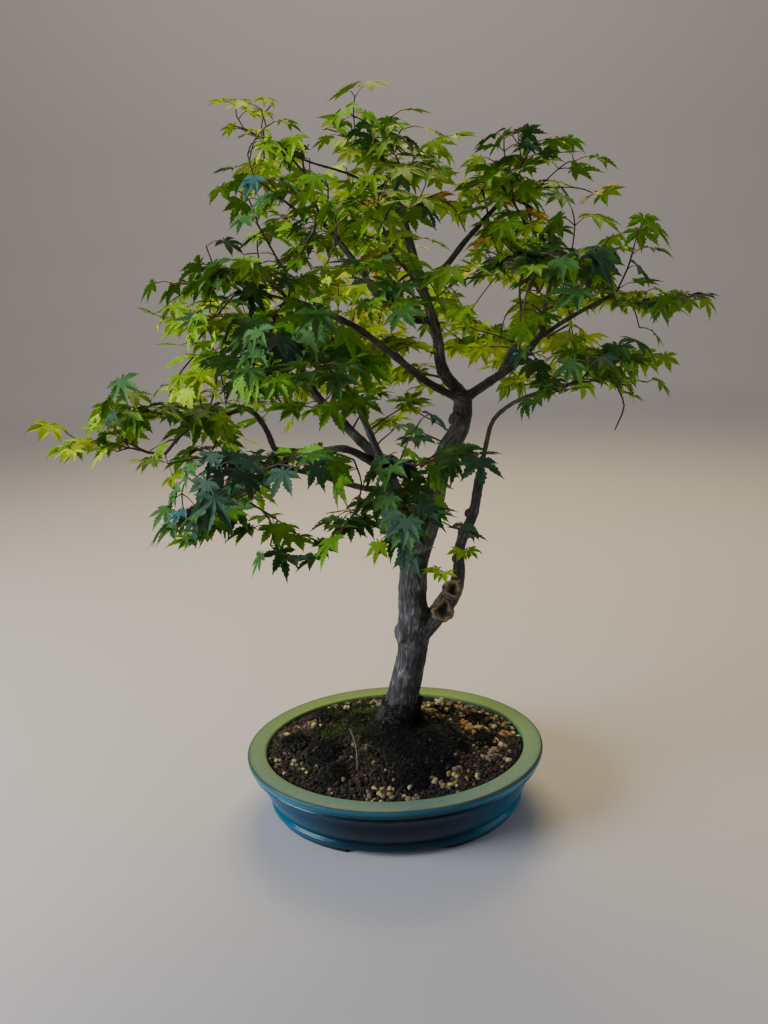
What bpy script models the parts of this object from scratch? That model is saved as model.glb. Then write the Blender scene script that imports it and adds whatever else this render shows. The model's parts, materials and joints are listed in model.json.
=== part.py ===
"""Maple bonsai in an oval glazed pot: pot, soil, trunk, boughs and masses of leafy twigs."""

import math
from collections import namedtuple

import bmesh
import bpy
import numpy as np
from mathutils import Matrix, Vector

# Driving dimensions, in millimetres. +X is right, +Y back, +Z up, and the origin is on the ground under the
# middle of the pot.
MM = 0.001
GAP = 0.35

POT_LENGTH = 250
POT_WIDTH = 202
POT_HEIGHT = 53
RIM_WIDTH = 16
LIP_HEIGHT = 7
WALL_THICKNESS = 7
FLOOR_THICKNESS = 6
WAIST_INSET = 13
WAIST_HEIGHT = 23
BASE_INSET = 21
ARCH_HEIGHT = 4.5
FOOT_RING_WIDTH = 14
FRONT_ARCH_SPAN = 84
END_ARCH_SPAN = 62
OVAL_STEPS = 36
OVAL_CORE = 84

SOIL_GAP = 0.5
SOIL_EDGE = 49
MOUND_TOP = 60
MOUND_PLATEAU = 48
SOIL_RINGS = 10
TRUNK_CLEAR = 24

RING_SPACING = 16
TRUNK_SIDES = 12
BOUGH_SIDES = 6
TWIG_SIDES = 3
ROOT_FLARE = 0.16
ROOT_COUNT = 5

LEAF_LENGTH = 40
LEAF_THICKNESS = 1.2
LEAF_DROOP = 0.9
LEAF_SPACING = 38
LEAF_CLEARANCE = 4
STALK_LENGTH = 12
STALK_RADIUS = 0.35
STEM_LENGTH = 9
STEM_RADIUS = 1.2
TWIG_TIP_RADIUS = 0.65
TWIG_STEP = 40
LIMB_CLEARANCE = 3
SPACE_CLEARANCE = 2.4
CROWN_MIDDLE = Vector((5, 8, 420))

# Shares and counts that shape how the twigs grow: the nearest and furthest that a leaf may be from the middle
# of its mass, the power that joins a twig's radius to the leaves it bears, the sharpest bend as a cosine, and
# the tries.
SITE_INNER = 0.25
SITE_OUTER = 0.85
PIPE_POWER = 2.4
SHARPEST_BEND = 0.1
LEAF_TRIES = 90
TWIG_TRIES = 36

COLOURS = {
    "glaze": (0.10, 0.33, 0.36),
    "soil": (0.06, 0.04, 0.025),
    "bark": (0.16, 0.13, 0.11),
    "foliage": (0.09, 0.20, 0.03),
}
ROUGHNESS = {"glaze": 0.2, "soil": 0.95, "bark": 0.85, "foliage": 0.5}

# The corners of half a leaf, as (angle from the middle lobe in degrees, share of the leaf's length): the
# middle lobe, a notch, a side lobe, and the corner that the stalk joins.
LEAF_CORNERS = [(0, 1.0), (25, 0.42), (56, 0.82), (180, 0.17)]

# The mossy clumps on the soil, as (x, y, radius, rise).
CLUMPS = [
    (-58, 46, 17, 6),
    (-86, 0, 15, 6),
    (-60, -21, 17, 7),
    (-50, -50, 14, 6),
    (11, -57, 19, 6),
    (6, -26, 20, 7),
    (22, -24, 40, 5.5),
    (47, -19, 17, 6),
    (76, -8, 12, 4),
    (76, 26, 15, 5),
    (46, 46, 17, 5),
    (-32, 24, 16, 5),
]

# The trunk's centre line from the cut at the soil to its top fork, and its radius at each point.
TRUNK = [
    ((2, 14, MOUND_TOP + GAP), 19.5),
    ((5, 14, 70), 15.5),
    ((10, 14, 94), 13.2),
    ((17, 13, 123), 12.4),
    ((20, 12, 150), 13.6),
    ((20, 11, 180), 11.9),
    ((23, 10, 210), 11.2),
    ((36, 8, 246), 8.8),
    ((42, 6, 276), 8.6),
    ((50, 6, 299), 8.2),
    ((62, 6, 320), 7.4),
    ((64, 6, 343), 7.2),
]

# A bough leaves its parent at a share of the parent's length and passes through points to its tip. Its radius
# shrinks evenly from thick to thin.
Bough = namedtuple("Bough", "parent share through thick thin")
BOUGHS = {
    "right_stem": Bough(
        "trunk", 0.27, [(45, 9, 170), (57, 9, 190), (60, 9, 222), (71, 9, 248), (76, 9, 277)], 8.6, 4.2
    ),
    "left_primary": Bough("trunk", 0.53, [(15, 5, 232), (9, 1, 268), (0, -4, 295)], 7.2, 5.6),
    "leader": Bough("trunk", 1.0, [(49, 7, 362), (45, 7, 390), (32, 3, 435), (20, -2, 484)], 5.6, 2.6),
    "low_left": Bough("left_primary", 0.9, [(-27, -12, 308), (-52, -21, 308), (-79, -32, 313)], 3.3, 2.4),
    "low_left_bend": Bough("low_left", 1.0, [(-85, -36, 332), (-95, -41, 345), (-112, -45, 341)], 2.3, 1.8),
    "left_riser": Bough(
        "left_primary", 1.0, [(-17, 2, 312), (-33, 8, 329), (-50, 13, 348), (-68, 21, 384)], 5, 3
    ),
    "front_riser": Bough(
        "left_primary", 0.82, [(-8, -19, 318), (-18, -32, 346), (-32, -48, 371)], 3.2, 2.1
    ),
    "low_front_left": Bough(
        "left_primary", 0.66, [(-28, -34, 286), (-50, -52, 298), (-66, -62, 304)], 2.6, 1.8
    ),
    "front_low": Bough("left_primary", 0.45, [(14, -26, 268), (17, -50, 288)], 2.4, 1.7),
    "left_reach": Bough(
        "trunk", 0.985, [(37, -9, 355), (8, -35, 380), (-17, -50, 400), (-50, -61, 416)], 3.8, 2.2
    ),
    "upper_left_limb": Bough(
        "leader", 0.42, [(27, 0, 402), (4, -15, 418), (-12, -24, 440), (-28, -25, 462)], 3.1, 2
    ),
    "top_right_limb": Bough("leader", 0.6, [(52, 14, 438), (70, 24, 458), (94, 24, 482)], 2.7, 1.8),
    "right_limb": Bough("trunk", 0.99, [(84, 2, 353), (104, -9, 368), (119, -20, 388)], 4.6, 3),
    "right_mid_limb": Bough("right_limb", 1.0, [(120, -25, 404), (122, -36, 424)], 2.6, 1.9),
    "right_far_limb": Bough("right_limb", 0.93, [(137, -26, 398), (160, -32, 410)], 1.9, 1.5),
    "right_low_limb": Bough(
        "right_stem", 1.0, [(81, 6, 302), (87, 2, 324), (106, -9, 340), (138, -20, 350)], 2.1, 1.5
    ),
    "back_left_limb": Bough("left_riser", 0.5, [(-36, 34, 348), (-40, 64, 372)], 2.6, 1.8),
    "back_upper_limb": Bough("leader", 0.55, [(33, 24, 440), (26, 42, 462)], 2.4, 1.7),
    "back_right_limb": Bough("right_limb", 0.42, [(106, 24, 376), (130, 46, 398)], 2.6, 1.8),
    "front_high_limb": Bough("leader", 0.34, [(37, -22, 410), (26, -48, 428)], 2.4, 1.7),
    "sprig_shoot": Bough("leader", 0.96, [(-10, -12, 500), (-44, -19, 511), (-64, -20, 521)], 1.5, 1.1),
}

# A mass of leafy twigs grows from its bough's tip into an ellipsoid, given by its middle and its half sizes.
Mass = namedtuple("Mass", "bough middle size leaves leaf_scale seed")
MASSES = {
    "leaves_low_left": Mass("low_left_bend", (-164, -50, 330), (82, 58, 48), 18, 1, 13),
    "leaves_low_front_left": Mass("low_front_left", (-86, -98, 288), (94, 62, 54), 22, 1, 14),
    "leaves_front_low": Mass("front_low", (26, -96, 286), (56, 58, 54), 13, 1, 9),
    "leaves_left_high": Mass("left_reach", (-94, -62, 422), (62, 58, 52), 12, 1, 3),
    "leaves_left": Mass("left_riser", (-116, 46, 370), (72, 74, 66), 17, 1, 6),
    "leaves_upper_left": Mass("upper_left_limb", (-62, -22, 484), (60, 66, 56), 14, 1, 12),
    "leaves_sprig": Mass("sprig_shoot", (-84, -21, 532), (32, 26, 23), 4, 0.5, 11),
    "leaves_top": Mass("leader", (10, -14, 508), (68, 68, 50), 13, 1, 14),
    "leaves_front_left": Mass("front_riser", (-48, -104, 376), (58, 58, 54), 12, 1, 10),
    "leaves_front_high": Mass("front_high_limb", (18, -94, 444), (60, 56, 54), 12, 1, 4),
    "leaves_top_right": Mass("top_right_limb", (108, 10, 481), (74, 66, 52), 16, 1, 6),
    "leaves_right_mid": Mass("right_mid_limb", (116, -72, 430), (58, 58, 54), 12, 1, 6),
    "leaves_right_far": Mass("right_far_limb", (188, -20, 416), (54, 62, 54), 12, 1, 14),
    "leaves_right_low": Mass("right_low_limb", (156, -36, 354), (68, 60, 46), 12, 1, 4),
    "leaves_back_right": Mass("back_right_limb", (124, 96, 404), (94, 62, 64), 18, 1, 4),
    "leaves_back_left": Mass("back_left_limb", (-42, 110, 390), (74, 62, 64), 16, 1, 10),
    "leaves_back_upper": Mass("back_upper_limb", (20, 84, 476), (72, 62, 58), 14, 1, 5),
}


def clear_scene():
    for obj in list(bpy.data.objects):
        bpy.data.objects.remove(obj)


def new_collection(name):
    made = bpy.data.collections.new(name)
    bpy.context.scene.collection.children.link(made)
    return made


def material(name):
    made = bpy.data.materials.new(name)
    made.use_nodes = True
    shader = made.node_tree.nodes["Principled BSDF"]
    shader.inputs["Base Color"].default_value = (*COLOURS[name], 1)
    shader.inputs["Roughness"].default_value = ROUGHNESS[name]
    shader.inputs["Metallic"].default_value = 0
    return made


def mesh_object(name, bm, collection, finish=None):
    """An object from a bmesh that was modelled in millimetres."""
    bmesh.ops.scale(bm, vec=(MM, MM, MM), verts=bm.verts)
    mesh = bpy.data.meshes.new(name)
    bm.to_mesh(mesh)
    bm.free()
    obj = bpy.data.objects.new(name, mesh)
    collection.objects.link(obj)
    if finish:
        mesh.materials.append(finish)
    return obj


def apply_modifiers(obj):
    graph = bpy.context.evaluated_depsgraph_get()
    finished = bpy.data.meshes.new_from_object(obj.evaluated_get(graph))
    obj.modifiers.clear()
    obj.data = finished


def smooth_by_angle(obj, degrees):
    obj.data.shade_smooth()
    obj.data.set_sharp_from_angle(angle=math.radians(degrees))


def keep_largest_body(obj):
    """Drops the loose scraps that a Boolean leaves, and fills the hollows that it seals."""
    bm = bmesh.new()
    bm.from_mesh(obj.data)
    unseen = set(bm.verts)
    bodies = []
    while unseen:
        front = [unseen.pop()]
        body = set(front)
        while front:
            vert = front.pop()
            for edge in vert.link_edges:
                other = edge.other_vert(vert)
                if other in unseen:
                    unseen.discard(other)
                    body.add(other)
                    front.append(other)
        bodies.append(body)
    bodies.sort(key=len)
    for body in bodies[:-1]:
        bmesh.ops.delete(bm, geom=list(body), context="VERTS")
    bm.to_mesh(obj.data)
    bm.free()


def smooth_line(points):
    """Points a ring's spacing apart on a smooth curve through the given ones."""
    knots = [Vector(point) for point in points]
    line = []
    for i in range(len(knots) - 1):
        a, b = knots[i], knots[i + 1]
        before = knots[i - 1] if i else a - (b - a)
        after = knots[i + 2] if i + 2 < len(knots) else b + (b - a)
        span = (b - a).length
        pace_a = (b - before) * span / (span + (a - before).length)
        pace_b = (after - a) * span / (span + (after - b).length)
        steps = max(1, round(span / RING_SPACING))
        for step in range(steps):
            t = step / steps
            line.append(
                a * (2 * t**3 - 3 * t**2 + 1)
                + pace_a * (t**3 - 2 * t**2 + t)
                + b * (3 * t**2 - 2 * t**3)
                + pace_b * (t**3 - t**2)
            )
    return line + [knots[-1]]


def shares(line):
    """How far along the line each of its points is, from 0 to 1."""
    runs = [0.0]
    for a, b in zip(line, line[1:]):
        runs.append(runs[-1] + (b - a).length)
    return [run / runs[-1] for run in runs]


def point_at(line, share):
    marks = shares(line)
    for i in range(len(line) - 1):
        if share <= marks[i + 1]:
            return line[i].lerp(line[i + 1], (share - marks[i]) / (marks[i + 1] - marks[i]))
    return line[-1].copy()


def tube(line, radii, sides):
    """A bmesh of circles along the line, bridged one to the next and capped at both ends."""
    bm = bmesh.new()
    last = len(line) - 1
    headings = [(line[min(i + 1, last)] - line[max(i - 1, 0)]).normalized() for i in range(len(line))]
    turn = headings[0].to_track_quat("Z", "X")
    last_edges = []
    for i, (point, radius) in enumerate(zip(line, radii)):
        if i:
            turn = headings[i - 1].rotation_difference(headings[i]) @ turn
        ring = bmesh.ops.create_circle(
            bm,
            cap_ends=i in (0, last),
            segments=sides,
            radius=radius,
            matrix=Matrix.Translation(point) @ turn.to_matrix().to_4x4(),
        )["verts"]
        edges = list({edge for vert in ring for edge in vert.link_edges})
        if i:
            bmesh.ops.bridge_loops(bm, edges=last_edges + edges)
        last_edges = edges
    bmesh.ops.recalc_face_normals(bm, faces=bm.faces)
    return bm


def pot_outer_profile():
    """The pot's outer side as (radius, height) pairs, from its rim's inner edge down to the foot ring."""
    rim = POT_LENGTH / 2
    top = POT_HEIGHT
    lip = top - LIP_HEIGHT
    return [
        (rim - RIM_WIDTH, top - 0.6),
        (rim - RIM_WIDTH + 2, top),
        (rim - 2, top),
        (rim - 0.5, top - 0.7),
        (rim, top - 2),
        (rim - 0.4, lip + 1),
        (rim - 3, lip),
        (rim - 8, lip - 2.5),
        (rim - 9, lip - 7),
        (rim - WAIST_INSET, WAIST_HEIGHT),
        (rim - BASE_INSET + 1.5, 11.5),
        (rim - BASE_INSET + 3.4, 9.8),
        (rim - BASE_INSET + 4, 8),
        (rim - BASE_INSET + 3, 6.2),
        (rim - BASE_INSET + 1, 5),
        (rim - BASE_INSET, 0),
    ]


def cavity_profile(gap):
    """The pot's inside from its floor's centre up to the foot of the rim, drawn in by the gap."""
    rim = POT_LENGTH / 2
    floor = ARCH_HEIGHT + FLOOR_THICKNESS + gap
    return [
        (0, floor),
        (rim - BASE_INSET - 3 - WALL_THICKNESS - gap, floor),
        (rim - WAIST_INSET - WALL_THICKNESS - gap, WAIST_HEIGHT),
        (rim - RIM_WIDTH - gap, POT_HEIGHT - LIP_HEIGHT),
    ]


def draw_in(mesh):
    """Draws a round mesh in to the pot's oval. The rim and the wall stay as thick in front as at the ends."""
    inset = (POT_LENGTH - POT_WIDTH) / 2 * MM
    for vert in mesh.vertices:
        reach = math.hypot(vert.co.x, vert.co.y)
        vert.co.y *= 1 - inset / max(reach, OVAL_CORE * MM)


def turned_oval(name, profile, collection, finish):
    """A closed body turned from a profile that starts and ends on the axis, drawn in to the pot's oval."""
    bm = bmesh.new()
    verts = [bm.verts.new((radius, 0, height)) for radius, height in profile]
    for a, b in zip(verts, verts[1:]):
        bm.edges.new((a, b))
    obj = mesh_object(name, bm, collection, finish)
    screw = obj.modifiers.new("turn", "SCREW")
    screw.steps = OVAL_STEPS
    screw.render_steps = OVAL_STEPS
    screw.use_merge_vertices = True
    screw.merge_threshold = 0.0001
    apply_modifiers(obj)
    draw_in(obj.data)
    return obj


def cutter_box(name, size, collection):
    bm = bmesh.new()
    bmesh.ops.create_cube(bm, size=1, matrix=Matrix.Diagonal((*size, 1)))
    obj = mesh_object(name, bm, collection)
    obj.hide_render = True
    obj.display_type = "WIRE"
    return obj


def cut_away(obj, cutter):
    cut = obj.modifiers.new(cutter.name, "BOOLEAN")
    cut.operation = "DIFFERENCE"
    cut.solver = "EXACT"
    cut.object = cutter


def make_pot(parts, cutters, finish):
    """The oval pot: its wall and lip are turned, and two arches cut across its foot ring leave four feet."""
    foot_inner = POT_LENGTH / 2 - BASE_INSET - FOOT_RING_WIDTH
    rim_inner = (POT_LENGTH / 2 - RIM_WIDTH, POT_HEIGHT - 3.2)
    base = [(foot_inner, 0), (foot_inner - 1, ARCH_HEIGHT), (0, ARCH_HEIGHT)]
    profile = [*cavity_profile(0), rim_inner, *pot_outer_profile(), *base]
    pot = turned_oval("pot", profile, parts, finish)
    across = POT_LENGTH + 20
    height = 2 * ARCH_HEIGHT - 0.6
    cut_away(pot, cutter_box("end_arches", (across, END_ARCH_SPAN, height), cutters))
    cut_away(pot, cutter_box("front_arches", (FRONT_ARCH_SPAN, across, height), cutters))
    smooth_by_angle(pot, 32)


def clump_rise(x, y):
    """How far the clumps raise the soil at a place. They keep clear of the trunk's foot."""
    foot_x, foot_y, _ = TRUNK[0][0]
    clear = (math.hypot(x - foot_x, y - foot_y) - TRUNK_CLEAR) / 8
    rises = [0.0]
    for at_x, at_y, radius, rise in CLUMPS:
        rises.append(rise * (1 - math.hypot(x - at_x, y - at_y) / radius))
    return max(rises) * min(max(clear, 0), 1)


def make_soil(parts, finish):
    """The soil: it fills the pot and rises to a low mound with clumps on it, flat under the trunk."""
    edge = POT_LENGTH / 2 - RIM_WIDTH - SOIL_GAP
    top = []
    for ring in range(SOIL_RINGS + 1):
        reach = edge * ring / SOIL_RINGS
        climb = min((edge - reach) / (edge - MOUND_PLATEAU), 1)
        top.append((reach, SOIL_EDGE + (MOUND_TOP - SOIL_EDGE) * climb**1.3))
    soil = turned_oval("soil", [*top, *reversed(cavity_profile(SOIL_GAP))], parts, finish)
    for vert in soil.data.vertices:
        if vert.co.z > (SOIL_EDGE + 1) * MM:
            vert.co.z += clump_rise(vert.co.x / MM, vert.co.y / MM) * MM
    smooth_by_angle(soil, 60)


def make_trunk(parts, finish, line, radii):
    """The trunk: leaning and tapering, its foot spread by the roots' flare and cut flat at the soil."""
    bm = tube(line, radii, TRUNK_SIDES)
    foot = line[0]
    for vert in bm.verts:
        if vert.co.z - foot.z < RING_SPACING / 2:
            around = math.atan2(vert.co.y - foot.y, vert.co.x - foot.x)
            swell = 1 + ROOT_FLARE * math.cos(ROOT_COUNT * around)
            vert.co = foot + Vector(((vert.co.x - foot.x) * swell, (vert.co.y - foot.y) * swell, 0))
    trunk = mesh_object("trunk", bm, parts, finish)
    smooth_by_angle(trunk, 50)


def limb_lines():
    """name: (line, radii) of the trunk and of each bough, every bough starting inside its parent."""
    knots = [Vector(point) for point, _ in TRUNK]
    line = smooth_line(knots)
    radii = np.interp(shares(line), shares(knots), [radius for _, radius in TRUNK])
    limbs = {"trunk": (line, [float(radius) for radius in radii])}
    for name, bough in BOUGHS.items():
        start = point_at(limbs[bough.parent][0], bough.share)
        line = smooth_line([start, *bough.through])
        limbs[name] = (line, [bough.thick + (bough.thin - bough.thick) * share for share in shares(line)])
    return limbs


def limbs_in_the_way(name):
    """The limbs that a bough is cut clear of: its parent, and the elder boughs of the same parent."""
    names = list(BOUGHS)
    elders = names[: names.index(name)]
    return [BOUGHS[name].parent, *(other for other in elders if BOUGHS[other].parent == BOUGHS[name].parent)]


def make_boughs(parts, cutters, finish, limbs):
    """Each bough is a tapering tube, cut a gap clear of the limbs that it grows from and beside."""
    for name in BOUGHS:
        bough = mesh_object(name, tube(*limbs[name], BOUGH_SIDES), parts, finish)
        for other in limbs_in_the_way(name):
            line, radii = limbs[other]
            past_tip = line[-1] + (line[-1] - line[-2]).normalized() * GAP
            sides = TRUNK_SIDES if other == "trunk" else BOUGH_SIDES
            grown = tube([*line[:-1], past_tip], [radius + GAP for radius in radii], sides)
            cutter = mesh_object("clearance", grown, cutters)
            cut_away(bough, cutter)
            apply_modifiers(bough)
            bpy.data.objects.remove(cutter)
        keep_largest_body(bough)
        smooth_by_angle(bough, 65)


def as_array(points):
    return np.array([list(point) for point in points], float)


def random_direction(rng):
    return Vector(rng.normal(size=3)).normalized()


class Space:
    """The room that one mass of leaves may fill: its own ellipsoid, as far as no other mass's is nearer, and
    clear of every limb."""

    def __init__(self, name, limbs):
        self.middle = np.array(MASSES[name].middle, float)
        self.size = np.array(MASSES[name].size, float)
        others = [mass for other, mass in MASSES.items() if other != name]
        self.other_middles = np.array([mass.middle for mass in others], float)
        self.other_sizes = np.array([mass.size for mass in others], float)
        self.starts = np.concatenate([as_array(line[:-1]) for line, _ in limbs.values()])
        self.ends = np.concatenate([as_array(line[1:]) for line, _ in limbs.values()])
        self.thick = np.concatenate([radii[:-1] for _, radii in limbs.values()])

    def holds(self, points):
        """Whether all the points are inside, clear of the neighbouring spaces and of the limbs."""
        points = as_array(points)
        depth = np.linalg.norm((points - self.middle) / self.size, axis=1)
        if depth.max() > 1:
            return False
        other_depths = np.linalg.norm((points[:, None] - self.other_middles) / self.other_sizes, axis=-1)
        if (other_depths.min(axis=1) < depth + SPACE_CLEARANCE / self.size.min()).any():
            return False
        along = self.ends - self.starts
        share = ((points[:, None] - self.starts) * along).sum(-1) / (along * along).sum(-1)
        nearest = self.starts + np.clip(share, 0, 1)[..., None] * along
        away = np.linalg.norm(points[:, None] - nearest, axis=-1)
        return bool((away > self.thick + LIMB_CLEARANCE).all())


def leaf_frame(base, axis, up, scale):
    """The matrix of a leaf whose stalk joins it at base, whose middle lobe points along axis, face up."""
    side = up.cross(axis).normalized()
    turn = Matrix((axis, side, axis.cross(side))).transposed().to_4x4()
    return Matrix.Translation(base) @ turn @ Matrix.Diagonal((scale, scale, 1, 1))


def leaf_outline():
    """The corners of a whole leaf as (angle, reach), counted round from the middle lobe."""
    half = LEAF_CORNERS[1:-1]
    mirrored = [(360 - angle, share) for angle, share in reversed(half)]
    corners = [LEAF_CORNERS[0], *half, LEAF_CORNERS[-1], *mirrored]
    return [(math.radians(angle), share * LEAF_LENGTH) for angle, share in corners]


def leaf_probe(frame):
    """Points over a leaf, close enough together to find any limb or leaf that would cross it."""
    points = []
    for angle, reach in leaf_outline():
        heading = Vector((math.cos(angle), math.sin(angle), 0))
        count = round(reach / 7)
        points += [frame @ (heading * reach * (step + 1) / count) for step in range(count)]
    return points


def leaf_mesh(frame):
    """A lobed leaf: a sphere of two rows, with a segment for each corner that is pulled out to its place."""
    outline = leaf_outline()
    bm = bmesh.new()
    bmesh.ops.create_uvsphere(bm, u_segments=len(outline), v_segments=2, radius=1)
    rim = [vert for vert in bm.verts if abs(vert.co.z) < 0.5]
    rim.sort(key=lambda vert: math.atan2(vert.co.y, vert.co.x) % (2 * math.pi - 1e-4))
    for vert, (angle, reach) in zip(rim, outline):
        vert.co = (math.cos(angle) * reach, math.sin(angle) * reach, 0)
    for vert in set(bm.verts) - set(rim):
        vert.co.z *= LEAF_THICKNESS / 2
    bmesh.ops.transform(bm, matrix=frame, verts=bm.verts)
    bmesh.ops.recalc_face_normals(bm, faces=bm.faces)
    return bm


class Twigs:
    """The twigs of one mass: points, each with the point that it grew from. The first three are the stem."""

    def __init__(self, start, heading, goal):
        self.points = [start]
        self.parents = [None]
        self.headings = [heading]
        self.load = [0]
        bend = (heading + (goal - start).normalized()).normalized()
        self.add(start + heading * STEM_LENGTH * 0.3, 0)
        self.add(self.points[1] + bend * STEM_LENGTH * 0.7, 1)

    def add(self, point, parent):
        self.points.append(point)
        self.parents.append(parent)
        self.headings.append((point - self.points[parent]).normalized())
        self.load.append(0)
        return len(self.points) - 1

    def nearest(self, goal):
        """The three points that a twig to the goal might best leave from: near, and along their heading."""
        costs = []
        for point, heading in zip(self.points[2:], self.headings[2:]):
            away = goal - point
            costs.append(away.length * 1.35 - 0.35 * away.dot(heading))
        return [int(index) + 2 for index in np.argsort(costs)[:3]]

    def carry(self, index):
        """Adds a leaf's load to a twig's end and to all that it grew from."""
        while index is not None:
            self.load[index] += 1
            index = self.parents[index]

    def radius(self, index):
        return TWIG_TIP_RADIUS * max(1, self.load[index]) ** (1 / PIPE_POWER)


def hang_leaf(site, mass, rng):
    """A leaf around the site, and the end of the twig that its stalk grows from. The leaf faces up, and its
    lobes point out of the mass and hang."""
    outward = (site - Vector(mass.middle)) * 0.6 + (site - CROWN_MIDDLE) * 0.2
    outward.z *= 0.4
    stalk = (outward.normalized() + random_direction(rng) * 0.45 + Vector((0, 0, 0.1))).normalized()
    axis = Vector((stalk.x, stalk.y, -LEAF_DROOP * (0.5 + rng.random()))).normalized()
    face = (Vector((0, 0, 1)) + random_direction(rng) * 0.35).normalized()
    base = site - axis * LEAF_LENGTH * mass.leaf_scale * 0.3
    return leaf_frame(base, axis, face, mass.leaf_scale), base - stalk * STALK_LENGTH * mass.leaf_scale


def apart(points, others):
    """Whether no point comes close to any of the others."""
    if not others:
        return True
    steps = as_array(points)[:, None] - as_array(others)
    return bool(np.linalg.norm(steps, axis=-1).min() > LEAF_CLEARANCE)


def leaf_places(space, mass, rng):
    """Leaves spread through the outer part of the mass's space, as (frame, probe points, end of the twig).
    They keep well apart at first, and less so as the room runs out."""
    placed = []
    sites = []
    tries = LEAF_TRIES * mass.leaves
    for turn in range(tries):
        reach = SITE_INNER + (SITE_OUTER - SITE_INNER) * rng.random() ** 0.6
        site = Vector(space.middle + np.array(random_direction(rng)) * space.size * reach)
        spacing = LEAF_SPACING * mass.leaf_scale * (1 - 0.45 * turn / tries)
        if any((site - other).length < spacing for other in sites):
            continue
        frame, end = hang_leaf(site, mass, rng)
        probe = leaf_probe(frame)
        if space.holds([end, *probe]) and apart(probe, [point for _, other, _ in placed for point in other]):
            placed.append((frame, probe, end))
            sites.append(site)
        if len(placed) == mass.leaves:
            break
    return placed


def bends_gently(line):
    """Whether no two steps of the line turn sharply from one to the next."""
    steps = [(b - a).normalized() for a, b in zip(line, line[1:])]
    return all(one.dot(two) > SHARPEST_BEND for one, two in zip(steps, steps[1:]))


def twig_to(end, base, twigs, space, blades, rng):
    """The points of a twig to its end, which a stalk leads on from to the leaf's base. It leaves from one of
    the nearest points of those already grown, and is led past the other leaves if there is a way."""
    sources = twigs.nearest(end)
    for turn in range(TWIG_TRIES):
        source = sources[turn * len(sources) * 2 // TWIG_TRIES % len(sources)]
        start = twigs.points[source]
        length = (end - start).length
        middle = end.lerp(start, 0.45) + (end - base).normalized() * length * 0.15
        middle += random_direction(rng) * length * 0.15
        path = [middle, end] if length > TWIG_STEP or turn % 2 else [end]
        line = [start, *path]
        between = [a.lerp(b, (step + 1) / 5) for a, b in zip(line, line[1:]) for step in range(5)]
        if not bends_gently([*line, base]) or not space.holds(between):
            continue
        if turn > TWIG_TRIES / 2 or apart(between, blades):
            return source, path
    return None, None


def grow(name, limbs):
    """Grows one mass by its seeded rule. Leaves are placed first. Then, from the nearest to the furthest, a
    twig reaches each from the nearest point of those already grown. What would leave the mass's space or
    touch a limb is left out."""
    mass = MASSES[name]
    rng = np.random.default_rng(mass.seed)
    space = Space(name, limbs)
    line, _ = limbs[mass.bough]
    heading = (line[-1] - line[-2]).normalized()
    twigs = Twigs(line[-1] + heading * GAP, heading, Vector(mass.middle))
    leaves = []
    places = leaf_places(space, mass, rng)
    places.sort(key=lambda place: (place[2] - twigs.points[0]).length)
    for frame, probe, end in places:
        blades = [point for _, other, _ in places if other is not probe for point in other]
        source, path = twig_to(end, frame.translation, twigs, space, blades, rng)
        if path is None:
            continue
        tip = source
        ends = []
        for point in path:
            tip = twigs.add(point, tip)
            ends.append(tip)
        twigs.carry(tip)
        leaves.append((source, ends, frame))
    return twigs, leaves


def twig_mesh(twigs, source, ends, frame, number):
    """A twig and its stalk: it starts thin inside the twig that it grows from, and ends inside its leaf."""
    parent_radius = twigs.radius(source)
    depth = 0.6 + 0.9 * (number * 0.618 % 1)
    start = twigs.points[source] - twigs.headings[source] * depth
    leaf_end = frame @ Vector((-LEAF_LENGTH * 0.04, 0, 0))
    radii = [min(twigs.radius(end), parent_radius * 0.9) for end in ends]
    line = [start, *(twigs.points[end] for end in ends), leaf_end]
    return tube(line, [parent_radius * 0.55, *radii, STALK_RADIUS], TWIG_SIDES)


def make_mass(name, limbs, parts, finish):
    """One mass of foliage: its stem, its twigs with their stalks, and its leaves, fused into one solid."""
    twigs, leaves = grow(name, limbs)
    pieces = new_collection(f"{name}_pieces")
    radius = max(twigs.radius(0), STEM_RADIUS)
    stem_tube = tube(twigs.points[:3], [radius, radius, radius * 0.9], TWIG_SIDES + 1)
    stem = mesh_object(name, stem_tube, parts, finish)
    for number, (source, ends, frame) in enumerate(leaves):
        mesh_object("twig", twig_mesh(twigs, source, ends, frame, number), pieces)
        mesh_object("leaf", leaf_mesh(frame), pieces)
    fuse = stem.modifiers.new("fuse", "BOOLEAN")
    fuse.operation = "UNION"
    fuse.solver = "EXACT"
    fuse.operand_type = "COLLECTION"
    fuse.collection = pieces
    apply_modifiers(stem)
    for piece in list(pieces.objects):
        bpy.data.objects.remove(piece)
    bpy.data.collections.remove(pieces)
    keep_largest_body(stem)


def main():
    clear_scene()
    parts = new_collection("maple_bonsai")
    cutters = new_collection("cutters")
    finishes = {name: material(name) for name in COLOURS}
    limbs = limb_lines()
    make_pot(parts, cutters, finishes["glaze"])
    make_soil(parts, finishes["soil"])
    make_trunk(parts, finishes["bark"], *limbs["trunk"])
    make_boughs(parts, cutters, finishes["bark"], limbs)
    for name in MASSES:
        make_mass(name, limbs, parts, finishes["foliage"])


main()
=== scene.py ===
"""The looks of the potted maple bonsai: bark, sprays of leaves, moss, granules and the glazed pot."""

import json
import math
from collections import namedtuple

import bmesh
import bpy
import numpy as np
from mathutils import Matrix, Quaternion, Vector, kdtree, noise

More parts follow.
